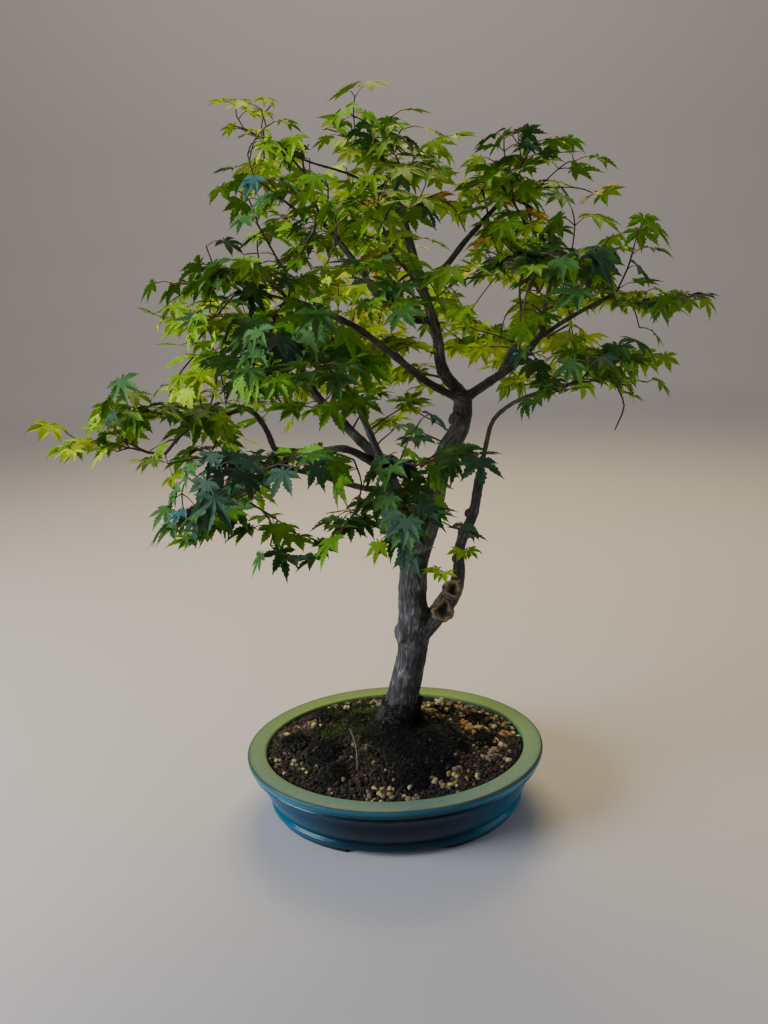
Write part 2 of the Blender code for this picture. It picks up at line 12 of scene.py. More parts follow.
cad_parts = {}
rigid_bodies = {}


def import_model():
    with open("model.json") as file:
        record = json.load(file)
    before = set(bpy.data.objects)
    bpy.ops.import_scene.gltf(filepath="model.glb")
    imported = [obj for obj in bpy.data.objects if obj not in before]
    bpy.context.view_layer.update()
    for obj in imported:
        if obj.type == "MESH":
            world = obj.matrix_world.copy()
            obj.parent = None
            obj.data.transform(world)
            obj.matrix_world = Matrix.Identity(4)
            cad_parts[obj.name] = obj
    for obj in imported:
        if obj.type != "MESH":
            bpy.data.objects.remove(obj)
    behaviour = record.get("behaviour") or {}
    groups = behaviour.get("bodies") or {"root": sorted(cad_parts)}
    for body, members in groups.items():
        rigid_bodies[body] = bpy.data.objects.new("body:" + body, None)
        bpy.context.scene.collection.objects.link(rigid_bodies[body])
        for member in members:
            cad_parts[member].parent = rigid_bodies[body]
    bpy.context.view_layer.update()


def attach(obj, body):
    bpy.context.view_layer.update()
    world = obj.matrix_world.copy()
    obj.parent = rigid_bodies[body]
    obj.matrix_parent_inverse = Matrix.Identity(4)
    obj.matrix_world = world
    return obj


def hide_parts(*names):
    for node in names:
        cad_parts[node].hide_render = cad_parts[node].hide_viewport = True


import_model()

# Sizes and places are in millimetres, in the frame of the solids: +X right, +Y back, +Z up, from the ground.
MM = 0.001
UP = Vector((0, 0, 1))

POT_LENGTH = 250
POT_WIDTH = 202
POT_HEIGHT = 53
OVAL_CORE = 84
RIM_WIDTH = 16
LIP_HEIGHT = 7
WAIST_INSET = 13
WAIST_HEIGHT = 23
BASE_INSET = 21
WALL_THICKNESS = 7
POT_FLOOR = 6
POT_STEPS = 160
ARCH_HEIGHT = 4.5
FOOT_RING_WIDTH = 14
FRONT_ARCH_SPAN = 84
END_ARCH_SPAN = 62

SOIL_REACH = POT_LENGTH / 2 - RIM_WIDTH
SOIL_EDGE = 49
MOUND_TOP = 60
MOUND_PLATEAU = 48
SOIL_SKIRT = 6
FOOT_MOSS_MIDDLE = (3, 6)
FOOT_MOSS_REACH = 44
FOOT_MOSS_RISE = 8
FOOT_COLLAR = 5
FOOT_COLLAR_MIDDLE = (3, 14)
SCATTER_MARGIN = 2.2
SOIL_STEPS = 180
GRANULES = 5000
GRANULE_SIZE = 3.8
PALE_SIZE = 5.6
GRANULES_IN_MOSS = 0.03
STRAY_PALE = 0.015
TUFTS = 16000
CLIMBING_TUFTS = 2600

BARK_VOXEL = 0.9
GRAIN_ACROSS = 0.42
GRAIN_ALONG = 0.055
BUD_RING_SPACING = 17
LIMB_RING = 7
TWIG_RING = 6

LEAF_LENGTH = 21
LEAF_CLEARANCE = 2
STALK_LENGTH = 13
STALK_RADIUS = 0.36
TWIG_RADIUS = 0.46
STEM_RADIUS = 1.0
PIPE_POWER = 2.4
NODE_SPACING = 12
MOST_NODES = 3
TIP_SPREAD = 36
NODE_SPREAD = 68
SHOOTS_SHARE = 1.5
SHOOT_SPACING = 25
TRIES_PER_SHOOT = 90
TRIES_PER_LEAF = 7
TIER_HEIGHT = 30
TIER_PULL = 0.55
SKY_LEAVES = 0.1
LIMB_CLEARANCE = 2
SPACE_CLEARANCE = 1.2
SPACE_REACH = 1.07
CROWN_MIDDLE = Vector((5, 8, 420))

EYE = Vector((-0.8, -606.4, 407.9))
LENS = 27.77
DEGREES_DOWN = 14.2
ROLL = -0.0426

# The trunk's centre line from the soil to its top fork, and its radius at each point.
TRUNK = [
    ((2, 14, 60.35), 19.5), ((5, 14, 70), 15.5), ((10, 14, 94), 13.2), ((17, 13, 123), 12.4),
    ((20, 12, 150), 13.6), ((20, 11, 180), 11.9), ((23, 10, 210), 11.2), ((36, 8, 246), 8.8),
    ((42, 6, 276), 8.6), ((50, 6, 299), 8.2), ((62, 6, 320), 7.4), ((64, 6, 343), 7.2),
]

# A bough leaves its parent at a share of the parent's length and passes through points to its tip.
Bough = namedtuple("Bough", "parent share through thick thin")
BOUGHS = {
    "right_stem": Bough(
        "trunk", 0.27, [(45, 9, 170), (57, 9, 190), (60, 9, 222), (71, 9, 248), (76, 9, 277)], 8.6, 4.2
    ),
    "left_primary": Bough("trunk", 0.53, [(15, 5, 232), (9, 1, 268), (0, -4, 295)], 7.2, 5.6),
    "leader": Bough("trunk", 1.0, [(49, 7, 362), (45, 7, 390), (32, 3, 435), (20, -2, 484)], 5.0, 2.3),
    "low_left": Bough("left_primary", 0.9, [(-27, -12, 308), (-52, -21, 308), (-79, -32, 313)], 3.3, 2.4),
    "low_left_bend": Bough("low_left", 1.0, [(-85, -36, 332), (-95, -41, 345), (-112, -45, 341)], 2.3, 1.8),
    "left_riser": Bough(
        "left_primary", 1.0, [(-17, 2, 312), (-33, 8, 329), (-50, 13, 348), (-68, 21, 384)], 4.4, 2.6
    ),
    "front_riser": Bough(
        "left_primary", 0.82, [(-8, -19, 318), (-18, -32, 346), (-32, -48, 371)], 3.2, 2.1
    ),
    "low_front_left": Bough(
        "left_primary", 0.66, [(-28, -34, 286), (-50, -52, 298), (-66, -62, 304)], 2.6, 1.8
    ),
    "front_low": Bough("left_primary", 0.45, [(14, -26, 268), (17, -50, 288)], 2.4, 1.7),
    "left_reach": Bough(
        "trunk", 0.985, [(37, -9, 355), (8, -35, 380), (-17, -50, 400), (-50, -61, 416)], 3.2, 2
    ),
    "upper_left_limb": Bough(
        "leader", 0.42, [(27, 0, 402), (4, -15, 418), (-12, -24, 440), (-28, -25, 462)], 3.1, 2
    ),
    "top_right_limb": Bough("leader", 0.6, [(52, 14, 438), (70, 24, 458), (94, 24, 482)], 2.7, 1.8),
    "right_limb": Bough("trunk", 0.99, [(84, 2, 353), (104, -9, 368), (119, -20, 388)], 3.9, 2.5),
    "right_mid_limb": Bough("right_limb", 1.0, [(120, -25, 404), (122, -36, 424)], 2.2, 1.6),
    "right_far_limb": Bough("right_limb", 0.93, [(137, -26, 398), (160, -32, 410)], 1.9, 1.5),
    "right_low_limb": Bough(
        "right_stem", 1.0, [(81, 6, 302), (87, 2, 324), (106, -9, 340), (138, -20, 350)], 2.1, 1.5
    ),
    "back_left_limb": Bough("left_riser", 0.5, [(-36, 34, 348), (-40, 64, 372)], 2.6, 1.8),
    "back_upper_limb": Bough("leader", 0.55, [(33, 24, 440), (26, 42, 462)], 2.4, 1.7),
    "back_right_limb": Bough("right_limb", 0.42, [(106, 24, 376), (130, 46, 398)], 2.6, 1.8),
    "front_high_limb": Bough("leader", 0.34, [(37, -22, 410), (26, -48, 428)], 2.4, 1.7),
    "sprig_shoot": Bough("leader", 0.96, [(-10, -12, 500), (-44, -19, 511), (-64, -20, 521)], 1.2, 0.9),
}

# A mass of leafy shoots grows from its bough's tip into an ellipsoid, given by its middle and its half sizes.
# Droop says how far below the level its leaves point, and light how much painted light their colours
# show, from 0 for deep painted shade to 1 for bright painted light coming through them.
Mass = namedtuple("Mass", "bough middle size shoots leaf_scale droop light seed")
MASSES = {
    "leaves_low_left": Mass("low_left_bend", (-164, -50, 330), (82, 58, 48), 19, 0.95, 0.9, 0.52, 13),
    "leaves_low_front_left": Mass("low_front_left", (-86, -98, 288), (94, 62, 54), 16, 1, 1.1, 0.18, 17),
    "leaves_front_low": Mass("front_low", (26, -96, 286), (56, 58, 54), 11, 1, 1.1, 0.18, 18),
    "leaves_left_high": Mass("left_reach", (-94, -62, 422), (62, 58, 52), 14, 0.95, 0.7, 0.42, 1),
    "leaves_left": Mass("left_riser", (-116, 46, 370), (72, 74, 66), 19, 1, 0.7, 0.7, 20),
    "leaves_upper_left": Mass("upper_left_limb", (-62, -22, 484), (60, 66, 56), 18, 0.9, 0.6, 0.5, 14),
    "leaves_sprig": Mass("sprig_shoot", (-84, -21, 532), (32, 26, 23), 6, 0.78, 0.4, 0.85, 11),
    "leaves_top": Mass("leader", (10, -14, 508), (68, 68, 50), 15, 0.95, 0.4, 0.5, 19),
    "leaves_front_left": Mass("front_riser", (-48, -104, 376), (58, 58, 54), 12, 1, 0.9, 0.3, 12),
    "leaves_front_high": Mass("front_high_limb", (18, -94, 444), (60, 56, 54), 12, 0.95, 0.7, 0.36, 4),
    "leaves_top_right": Mass("top_right_limb", (108, 10, 481), (74, 66, 52), 18, 0.95, 0.5, 0.5, 16),
    "leaves_right_mid": Mass("right_mid_limb", (116, -72, 430), (58, 58, 54), 13, 1, 0.8, 0.32, 19),
    "leaves_right_far": Mass("right_far_limb", (188, -20, 416), (54, 62, 54), 12, 0.9, 0.9, 0.44, 1),
    "leaves_right_low": Mass("right_low_limb", (156, -36, 354), (68, 60, 46), 13, 0.95, 1.1, 0.4, 6),
    "leaves_back_right": Mass("back_right_limb", (124, 96, 404), (94, 62, 64), 28, 1, 0.7, 0.78, 15),
    "leaves_back_left": Mass("back_left_limb", (-42, 110, 390), (74, 62, 64), 25, 1, 0.7, 0.78, 3),
    "leaves_back_upper": Mass("back_upper_limb", (20, 84, 476), (72, 62, 58), 21, 1, 0.5, 0.75, 7),
}

# Half a leaf's lobes, from the middle one to the one beside the stalk: the angle from the middle in degrees,
# and the length and half width as shares of the leaf's length.
LOBES = [(0, 1.0, 0.165), (42, 0.9, 0.155), (84, 0.66, 0.125), (132, 0.27, 0.055)]
NOTCH = 0.28
STALK_GAP_ANGLE = 2.9
STALK_GAP_DEPTH = 0.05
LARGE_LOBE_LENGTH = 0.4

# A lobe: one side from the notch to the tip, with its teeth, then the points on its midrib, both as shares of
# its length and half width, then its faces. They join side (s), midrib (r), notch (n) and stalk (o).
LARGE_LOBE = (
    [
        (0.36, 0.82), (0.4, 0.66), (0.5, 1.08), (0.54, 0.76),
        (0.63, 0.92), (0.67, 0.54), (0.76, 0.58), (0.8, 0.26),
    ],
    [(0.57, 0), (0.76, 0), (1.0, 0)],
    ["o n s0 s1 s2 r0", "r0 s2 s3 s4 s5 r1", "r1 s5 s6 s7 r2"],
)
SMALL_LOBE = ([(0.6, 1.0)], [(1.0, 0)], ["o n s0 r0"])

# The right stem is thick up to its cut elbow and slim above it: (share of its length, radius).
ELBOW_RADII = [(0, 8.6), (0.2, 8.2), (0.34, 8.4), (0.43, 5.6), (0.6, 4.4), (1, 3.8)]

# Cut scars and knobs: (limb, share of its length, lean of the stub, length, radius). The first are bare cuts.
BARE_CUTS = 2
STUBS = [
    ("right_stem", 0.33, (0.12, -0.6, 0.75), 12.5, 7.6),
    ("right_stem", 0.25, (0.05, -1.0, 0.2), 13, 8.8),
    ("right_stem", 0.55, (-0.8, -0.5, 0.2), 6, 3),
    ("right_stem", 0.68, (0.95, -0.2, 0.3), 8, 3.2),
    ("right_stem", 0.8, (-0.8, -0.3, 0.4), 6.5, 3.2),
    ("right_stem", 0.98, (0.1, -0.4, 0.9), 9, 3.6),
    ("trunk", 0.3, (-0.9, -0.4, 0.1), 14.5, 8),
    ("trunk", 0.45, (0.5, -0.85, 0.2), 12.5, 5),
    ("trunk", 0.66, (0.9, -0.3, 0.2), 12, 3),
    ("trunk", 0.93, (-0.6, -0.7, 0.3), 11, 5.5),
    ("leader", 0.62, (-0.3, -0.4, 0.8), 16, 3.6),
    ("left_primary", 0.9, (0.5, -0.4, 0.8), 13, 4.6),
    ("left_riser", 0.4, (0.3, -0.5, 0.8), 9, 2.4),
    ("right_limb", 0.55, (0.2, -0.4, 0.9), 8, 2.6),
]

# Small shoots on the old wood: (limb, share of its length, lean, length, leaf length, number of the finish,
# which paints the leaves' light and shade from 0, painted shade, to 5, bright painted backlight, and the
# turns of the leaves at the tip in degrees).
SPROUTS = [
    ("right_stem", 0.46, (-0.75, -0.6, 0.35), 17, 14, 3, (-70, -10, 55)),
    ("right_stem", 0.6, (0.1, -0.9, 0.25), 17, 14, 3, (-95, -30, 35, 90)),
    ("left_reach", 0.2, (-0.3, 0.8, 0.3), 30, 20, 4, (-80, -30, 25, 75)),
    ("left_reach", 0.36, (-0.5, 0.7, 0.6), 34, 20, 5, (-75, -20, 40, 85)),
    ("left_reach", 0.5, (0.35, 0.8, 0.15), 30, 20, 4, (-80, -25, 30, 80)),
    ("left_reach", 0.62, (-0.1, 0.8, -0.4), 30, 20, 3, (-70, -15, 45)),
    ("front_riser", 0.45, (0.85, 0.2, 0.5), 30, 20, 2, (-80, -30, 30, 80)),
    ("left_riser", 0.3, (0.5, 0.5, 0.7), 30, 20, 3, (-80, -30, 30, 80)),
    ("leader", 0.12, (-0.8, 0.5, 0.1), 28, 20, 4, (-70, 0, 70)),
    ("leader", 0.24, (-0.9, 0.2, 0.35), 28, 20, 3, (-75, -20, 35, 80)),
    ("leader", 0.11, (-0.76, 0.64, 0.14), 40, 20, 5, (-95, -35, 25, 75)),
    ("trunk", 0.89, (-0.74, 0.51, 0.44), 37, 20, 5, (-70, -10, 45, 95)),
    ("trunk", 0.86, (-0.8, 0.5, 0.3), 52, 20, 4, (-80, -25, 30, 85)),
    ("left_reach", 0.05, (-0.44, 0.88, 0.18), 31, 20, 4, (-75, -20, 40, 90)),
    ("left_riser", 0.11, (0.68, 0.53, 0.51), 25, 20, 2, (-80, -25, 30, 85)),
    ("back_right_limb", 0.47, (-0.59, 0.81, 0.03), 26, 20, 5, (-70, -10, 45, 95)),
    ("back_right_limb", 0.56, (-0.87, 0.38, 0.31), 37, 20, 4, (-95, -35, 25, 75)),
    ("back_right_limb", 0.38, (0.18, 0.57, -0.8), 19, 20, 3, (-75, -20, 40, 90)),
    ("low_front_left", 0.66, (0.39, -0.78, -0.5), 37, 20, 1, (-80, -25, 30, 85)),
    ("front_low", 0.76, (-0.74, -0.68, 0.01), 29, 20, 1, (-70, -10, 45, 95)),
]

# The surface roots at the trunk's foot: their compass directions in degrees and how far they run.
ROOT_RADIUS = 8
ROOT_END_RADIUS = 4.5
ROOTS = [(200, 30), (262, 24), (318, 22), (12, 26), (96, 24), (150, 24)]

# The mossy clumps on the soil, as (x, y, radius, rise).
CLUMPS = [
    (-58, 46, 17, 6), (-86, 0, 15, 6), (-60, -21, 17, 7), (-50, -50, 14, 6), (11, -57, 19, 6),
    (6, -26, 20, 7), (22, -24, 40, 5.5), (47, -19, 17, 6), (76, -8, 12, 4), (76, 26, 15, 5),
    (46, 46, 17, 5), (-32, 24, 16, 5),
]

# Where the moss is green, as (x, y, radius, greenness from 0 to 1).
GREEN_MOSS = [
    (-31, 45, 30, 1.0), (-42, 14, 26, 0.7), (-60, 10, 14, 0.8), (31, 74, 13, 0.4), (39, 2, 18, 0.45),
    (-16, 4, 14, 0.4),
]

# The finishes of the granules, as their numbers in granule_finishes.
DARK_KINDS = [0, 1, 2]
PALE_KINDS = [2, 3, 4, 5]
OCHRE_KINDS = [3, 4, 6]
STRAY_KINDS = [3, 4, 5]

# Where pale stones lie among the granules, as (x, y, radius, share of the stones, whether they are ochre).
PALE_PATCHES = [
    (48, 56, 24, 0.62, False), (69, 42, 13, 0.36, False), (91, 27, 13, 0.28, False),
    (70, 12, 11, 0.5, True), (98, 4, 7, 0.3, True), (84, -22, 14, 0.24, False), (41, -56, 13, 0.3, False),
    (57, -58, 10, 0.15, False), (7, -83, 11, 0.16, False), (-13, -75, 11, 0.3, False),
    (-97, 22, 10, 0.28, False), (-79, 33, 9, 0.25, False), (-102, -22, 8, 0.22, False),
    (-85, -33, 7, 0.2, False), (-52, 68, 13, 0.28, False), (-16, 72, 15, 0.2, False),
]

# Openings in the crown, as the camera sees them on the plane y = 0: the place (x, z) of each, its half width
# and its half height. Only a few leaves hang before or behind one.
SKY = [
    (45, 454, 20, 23), (83, 411, 22, 17), (168, 391, 33, 12), (169, 320, 62, 20), (235, 453, 37, 21),
    (224, 333, 23, 24), (-106, 476, 17, 16), (-116, 524, 20, 33), (-150, 458, 19, 14),
    (-243, 347, 29, 15), (-211, 297, 36, 13), (-191, 269, 20, 21), (-74, 266, 25, 16),
    (-159, 209, 48, 25), (-69, 324, 34, 15), (48, 225, 16, 28), (67, 257, 16, 16), (142, 472, 19, 16),
    (196, 426, 19, 14), (-47, 195, 32, 15), (88, 211, 19, 33), (225, 377, 20, 10), (22, 538, 14, 8),
    (150, 494, 26, 9), (148, 459, 19, 11), (228, 423, 28, 9), (-143, 440, 25, 8), (-173, 371, 30, 10),
    (-168, 311, 22, 20), (-91, 254, 35, 11), (232, 354, 15, 10), (-108, 223, 13, 22), (159, 341, 20, 9),
    (137, 394, 19, 9), (49, 480, 17, 9), (-99, 517, 11, 14),
]


def linear(colour):
    """The linear colour of an sRGB hex value such as #4f6b2a."""
    channels = [int(colour[at : at + 2], 16) / 255 for at in (1, 3, 5)]
    return (*(c / 12.92 if c <= 0.04045 else ((c + 0.055) / 1.055) ** 2.4 for c in channels), 1)


def feed(node, inputs):
    """Gives each of a node's inputs its value, or the socket of another node that feeds it."""
    for name, value in inputs.items():
        if isinstance(value, bpy.types.NodeSocket):
            node.id_data.links.new(value, node.inputs[name])
        else:
            node.inputs[name].default_value = value


def add(tree, kind, inputs=None, stops=None, out=0, **settings):
    """Adds a node with its settings and inputs, and returns the output of it that is used."""
    node = tree.nodes.new(f"ShaderNode{kind}")
    for name, value in settings.items():
        setattr(node, name, value)
    feed(node, inputs or {})
    if stops:
        ramp = node.color_ramp
        while len(ramp.elements) < len(stops):
            ramp.elements.new(1)
        for element, (place, colour) in zip(ramp.elements, stops):
            element.position = place
            element.color = linear(colour)
    return node.outputs[out]


def finish(name, **inputs):
    """A new material and the shader that the inputs are set on."""
    made = bpy.data.materials.new(name)
    made.use_nodes = True
    shader = made.node_tree.nodes["Principled BSDF"]
    for key, value in inputs.items():
        shader.inputs[key.replace("_", " ")].default_value = value
    return made, made.node_tree, shader


def plain(name, colour, roughness, **inputs):
    made, _, _ = finish(name, Base_Color=linear(colour), Roughness=roughness, **inputs)
    return made


def leaf_finishes():
    """Living maple leaves: thin, faintly waxy. Their colours paint light and shade: the ones behind are
    painted lighter and yellower for the light that comes through them, the ones in front a deeper green for
    painted shade, a few have a painted bluish reflection of the sky and a few a painted warm highlight."""
    # From painted shade to the brightest painted backlight, then the painted sky reflection and warm
    # highlight.
    shades = {
        "leaf_shade": "#36533a",
        "leaf_deep": "#446c2e",
        "leaf_green": "#628f17",
        "leaf_fresh": "#84ab10",
        "leaf_glow": "#a8c212",
        "leaf_young": "#c4d61a",
        "leaf_sky": "#37665f",
        "leaf_amber": "#bb9a35",
    }
    return {name: plain(name, shade, 0.6, Specular_IOR_Level=0.16) for name, shade in shades.items()}


def maple_bark():
    """Old maple bark: thin and hard, dark grey with silvery streaks that run along the limb, in patches. It
    is stained dark and green at its foot, and tan where limbs were cut."""
    old_tones = [(0.34, "#11100f"), (0.46, "#292725"), (0.55, "#484644"), (0.65, "#7e7c7a")]
    old_tones += [(0.78, "#b9b8b8")]
    high_tones = [(0.34, "#191613"), (0.46, "#37322d"), (0.57, "#565049"), (0.74, "#918c83")]
    bare_tones = [(0.0, "#4c4130"), (0.12, "#8a7648"), (0.4, "#66532f"), (0.6, "#241b13"), (0.85, "#120e0b")]
    made, tree, shader = finish("maple_bark", Roughness=0.72)
    grain = add(tree, "Attribute", attribute_name="grain", out="Vector")
    scar = add(tree, "Attribute", attribute_name="scar", out="Fac")
    place = add(tree, "TexCoord", out="Object")
    height = add(tree, "SeparateXYZ", {"Vector": place}, out="Z")
    flecks = add(tree, "TexNoise", {"Vector": grain, "Scale": 1.5, "Detail": 7, "Roughness": 0.75})
    patches = add(tree, "TexNoise", {"Vector": place, "Scale": 75, "Detail": 3})
    lift = add(tree, "MapRange", {"Value": patches, "To Min": -0.2, "To Max": 0.2})
    mixed = add(tree, "Math", {0: flecks, 1: lift}, operation="ADD")
    old = add(tree, "ValToRGB", {"Fac": mixed}, old_tones)
    high = add(tree, "ValToRGB", {"Fac": mixed}, high_tones)
    rise = add(tree, "MapRange", {"Value": height, "From Min": 0.16, "From Max": 0.33})
    sound = add(tree, "Mix", {0: rise, 6: old, 7: high}, data_type="RGBA", out=2)
    foot = add(tree, "MapRange", {"Value": height, "From Min": 0.1, "From Max": 0.066, "To Max": 1.8})
    damp = add(tree, "Math", {0: foot, 1: patches}, operation="MULTIPLY", use_clamp=True)
    stained = add(tree, "Mix", {0: damp, 6: sound, 7: linear("#101008")}, data_type="RGBA", out=2)
    cracks = add(tree, "TexNoise", {"Vector": place, "Scale": 190, "Detail": 5, "Roughness": 0.75})
    rough = add(tree, "MapRange", {"Value": cracks, "To Min": -0.6, "To Max": 0.6})
    depth = add(tree, "Math", {0: scar, 1: rough}, operation="ADD")
    bare = add(tree, "ValToRGB", {"Fac": depth}, bare_tones)
    cover = add(tree, "MapRange", {"Value": scar, "From Min": 0.02, "From Max": 0.14})
    scarred = add(tree, "Mix", {0: cover, 6: stained, 7: bare}, data_type="RGBA", out=2)
    fine = add(tree, "TexNoise", {"Vector": grain, "Scale": 4, "Detail": 5, "Roughness": 0.7})
    bump = add(tree, "Bump", {"Height": fine, "Strength": 0.8, "Distance": 0.0011})
    feed(shader, {"Base Color": scarred, "Normal": bump})
    return made


def pot_glaze():
    """Stoneware glaze, dipped and fired: teal on the wall, with painted shade that darkens and dulls the
    middle of the long sides and painted light that brightens the ends, the right end most; paler bands of
    painted highlight on the lip and the foot's ridge, and a band of painted shade just under the lip; and a
    matt sage green with fine speckles on the flat of the rim, with a painted warm reflection at the back."""
    # The wall's tones by height: the paler bands on the foot's ridge and the lip are painted highlights, and
    # the darker band just under the lip is painted shade.
    wall_tones = [(0.0, "#2c2f29"), (0.05, "#0c3140"), (0.15, "#10475b"), (0.21, "#0c3c4d")]
    wall_tones += [(0.5, "#0a364c"), (0.76, "#092c3f"), (0.86, "#0f4559"), (0.93, "#2a5f66")]
    rim_tones = [(0.2, "#4e6040"), (0.34, "#64815f"), (0.8, "#62806a"), (0.9, "#5a7459")]
    rim_tones += [(0.95, "#4a4429"), (1, "#24616f")]
    made, tree, shader = finish("pot_glaze", Specular_IOR_Level=0.14, Coat_Weight=0.05)
    place = add(tree, "TexCoord", out="Object")
    along, back, height = (add(tree, "SeparateXYZ", {"Vector": place}, out=axis) for axis in "XYZ")
    run = add(tree, "TexNoise", {"Vector": place, "Scale": 38, "Detail": 3})
    shift = add(tree, "MapRange", {"Value": run, "To Min": -0.0015, "To Max": 0.0015})
    level = add(tree, "Math", {0: height, 1: shift}, operation="ADD")
    share = add(tree, "MapRange", {"Value": level, "From Max": POT_HEIGHT * MM})
    teal = add(tree, "ValToRGB", {"Fac": share}, wall_tones)
    # Painted shade darkens and greys the middle of the long sides; painted light brightens the ends, the
    # right one most.
    sideways = add(tree, "Math", {0: along}, operation="ABSOLUTE")
    ends = {"Value": sideways, "From Min": 0.03, "From Max": 0.1, "To Min": 0.4, "To Max": 1.9}
    depth = add(tree, "MapRange", ends, interpolation_type="SMOOTHSTEP")
    right = add(tree, "MapRange", {"Value": along, "From Max": 0.09, "To Min": 1, "To Max": 1.55})
    painted_shade_and_light = add(tree, "Math", {0: depth, 1: right}, operation="MULTIPLY")
    wall_with_painted_light = add(tree, "VectorMath", {0: teal, "Scale": painted_shade_and_light}, operation="SCALE")
    painted_shade_grey = {"Value": sideways, "From Min": 0.02, "From Max": 0.08, "To Min": 0.8, "To Max": 1}
    strength = add(tree, "MapRange", painted_shade_grey)
    wall = add(tree, "HueSaturation", {"Color": wall_with_painted_light, "Saturation": strength})
    reach = add(tree, "Attribute", attribute_name="reach", out="Fac")
    edge = POT_LENGTH / 2
    across = add(tree, "MapRange", {"Value": reach, "From Min": edge - 22, "From Max": edge})
    sage = add(tree, "ValToRGB", {"Fac": across}, rim_tones)
    # Painted warm reflection: the rim turns more yellow towards the back, and bluer at the front.
    yellower = {"Value": back, "From Min": -0.1, "From Max": 0.08, "To Min": 1.25, "To Max": 0.42}
    blue = add(tree, "MapRange", yellower)
    tint = add(tree, "CombineXYZ", {"X": 1, "Y": 1, "Z": blue})
    rim = add(tree, "VectorMath", {0: sage, 1: tint}, operation="MULTIPLY")
    top = add(tree, "MapRange", {"Value": height, "From Min": 0.0486, "From Max": 0.0512})
    body = add(tree, "Mix", {0: top, 6: wall, 7: rim}, data_type="RGBA", out=2)
    specks = add(tree, "TexNoise", {"Vector": place, "Scale": 900, "Detail": 2})
    dots = add(tree, "MapRange", {"Value": specks, "From Min": 0.3, "From Max": 0.7})
    tone = add(tree, "MapRange", {"Value": dots, "To Min": 0.8, "To Max": 1.15})
    speckled = add(tree, "VectorMath", {0: body, "Scale": tone}, operation="SCALE")
    matt = add(tree, "MapRange", {"Value": top, "To Min": 0.2, "To Max": 0.42})
    ripples = add(tree, "TexNoise", {"Vector": place, "Scale": 70, "Detail": 2})
    bump = add(tree, "Bump", {"Height": ripples, "Strength": 0.25, "Distance": 0.001})
    feed(shader, {"Base Color": speckled, "Roughness": matt, "Normal": bump})
    return made


def damp_loam():
    """Damp potting loam between the granules: nearly black, crumbly and dull."""
    tones = [(0.35, "#080605"), (0.55, "#130e0b"), (0.7, "#241b13")]
    made, tree, shader = finish("damp_loam", Roughness=0.95)
    place = add(tree, "TexCoord", out="Object")
    crumbs = add(tree, "TexNoise", {"Vector": place, "Scale": 420, "Detail": 4})
    loam = add(tree, "ValToRGB", {"Fac": crumbs}, tones)
    bump = add(tree, "Bump", {"Height": crumbs, "Strength": 1, "Distance": 0.0015})
    feed(shader, {"Base Color": loam, "Normal": bump})
    return made


def granule_finishes():
    """Baked clay, lava and pumice granules: dull and porous, from near black when damp to cream when dry."""
    return [
        plain("lava_granule", "#130f0d", 0.9),
        plain("damp_clay_granule", "#241a13", 0.9),
        plain("clay_granule", "#44321f", 0.9),
        plain("tan_clay_granule", "#7d6a3c", 0.85),
        plain("pumice_granule", "#a3966a", 0.85),
        plain("grey_grit", "#66604f", 0.8),
        plain("ochre_granule", "#8a6020", 0.85),
    ]


def moss_finishes():
    """Moss that has half dried: dark green tufts among nearly black ones, with a few fresh tips."""
    return [
        plain("dry_moss", "#090707", 0.95),
        plain("dark_moss", "#1a1d13", 0.95),
        plain("green_moss", "#3d4c14", 0.9),
        plain("fresh_moss", "#5a6b15", 0.9),
    ]


def piece(obj, slot, *nodes):
    """Makes an object a piece of the plant that stands for the CAD nodes."""
    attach(obj, "root")
    if nodes:
        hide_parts(*nodes)
    return obj


def show(name, mesh, finishes=()):
    obj = bpy.data.objects.new(name, mesh)
    bpy.context.scene.collection.objects.link(obj)
    for one in finishes:
        mesh.materials.append(one)
    return obj


def from_bmesh(name, bm, finishes=()):
    """An object from a bmesh that was modelled in millimetres."""
    bmesh.ops.scale(bm, vec=(MM, MM, MM), verts=bm.verts)
    mesh = bpy.data.meshes.new(name)
    bm.to_mesh(mesh)
    bm.free()
    return show(name, mesh, finishes)


def bake_modifiers(obj):
    """Replaces the object's mesh or curve by the mesh that its modifiers make of it."""
    graph = bpy.context.evaluated_depsgraph_get()
    made = bpy.data.meshes.new_from_object(obj.evaluated_get(graph))
    name = obj.name
    old = obj.data
    finishes = list(old.materials)
    bpy.data.objects.remove(obj)
    (bpy.data.curves if isinstance(old, bpy.types.Curve) else bpy.data.meshes).remove(old)
    made.materials.clear()
    return show(name, made, finishes)


def joined(name, parts, finishes, smooth=False):
    """One object from many small meshes, each given as (points, faces, number of its finish)."""
    points = []
    faces = []
    kinds = []
    start = 0
    for corners, loops, kind in parts:
        points.append(corners)
        faces += [[start + corner for corner in loop] for loop in loops]
        kinds += [kind] * len(loops)
        start += len(corners)
    mesh = bpy.data.meshes.new(name)
    mesh.from_pydata((np.concatenate(points) * MM).tolist(), [], faces)
    mesh.polygons.foreach_set("material_index", kinds)
    if smooth:
        mesh.shade_smooth()
    mesh.update()
    return show(name, mesh, finishes)


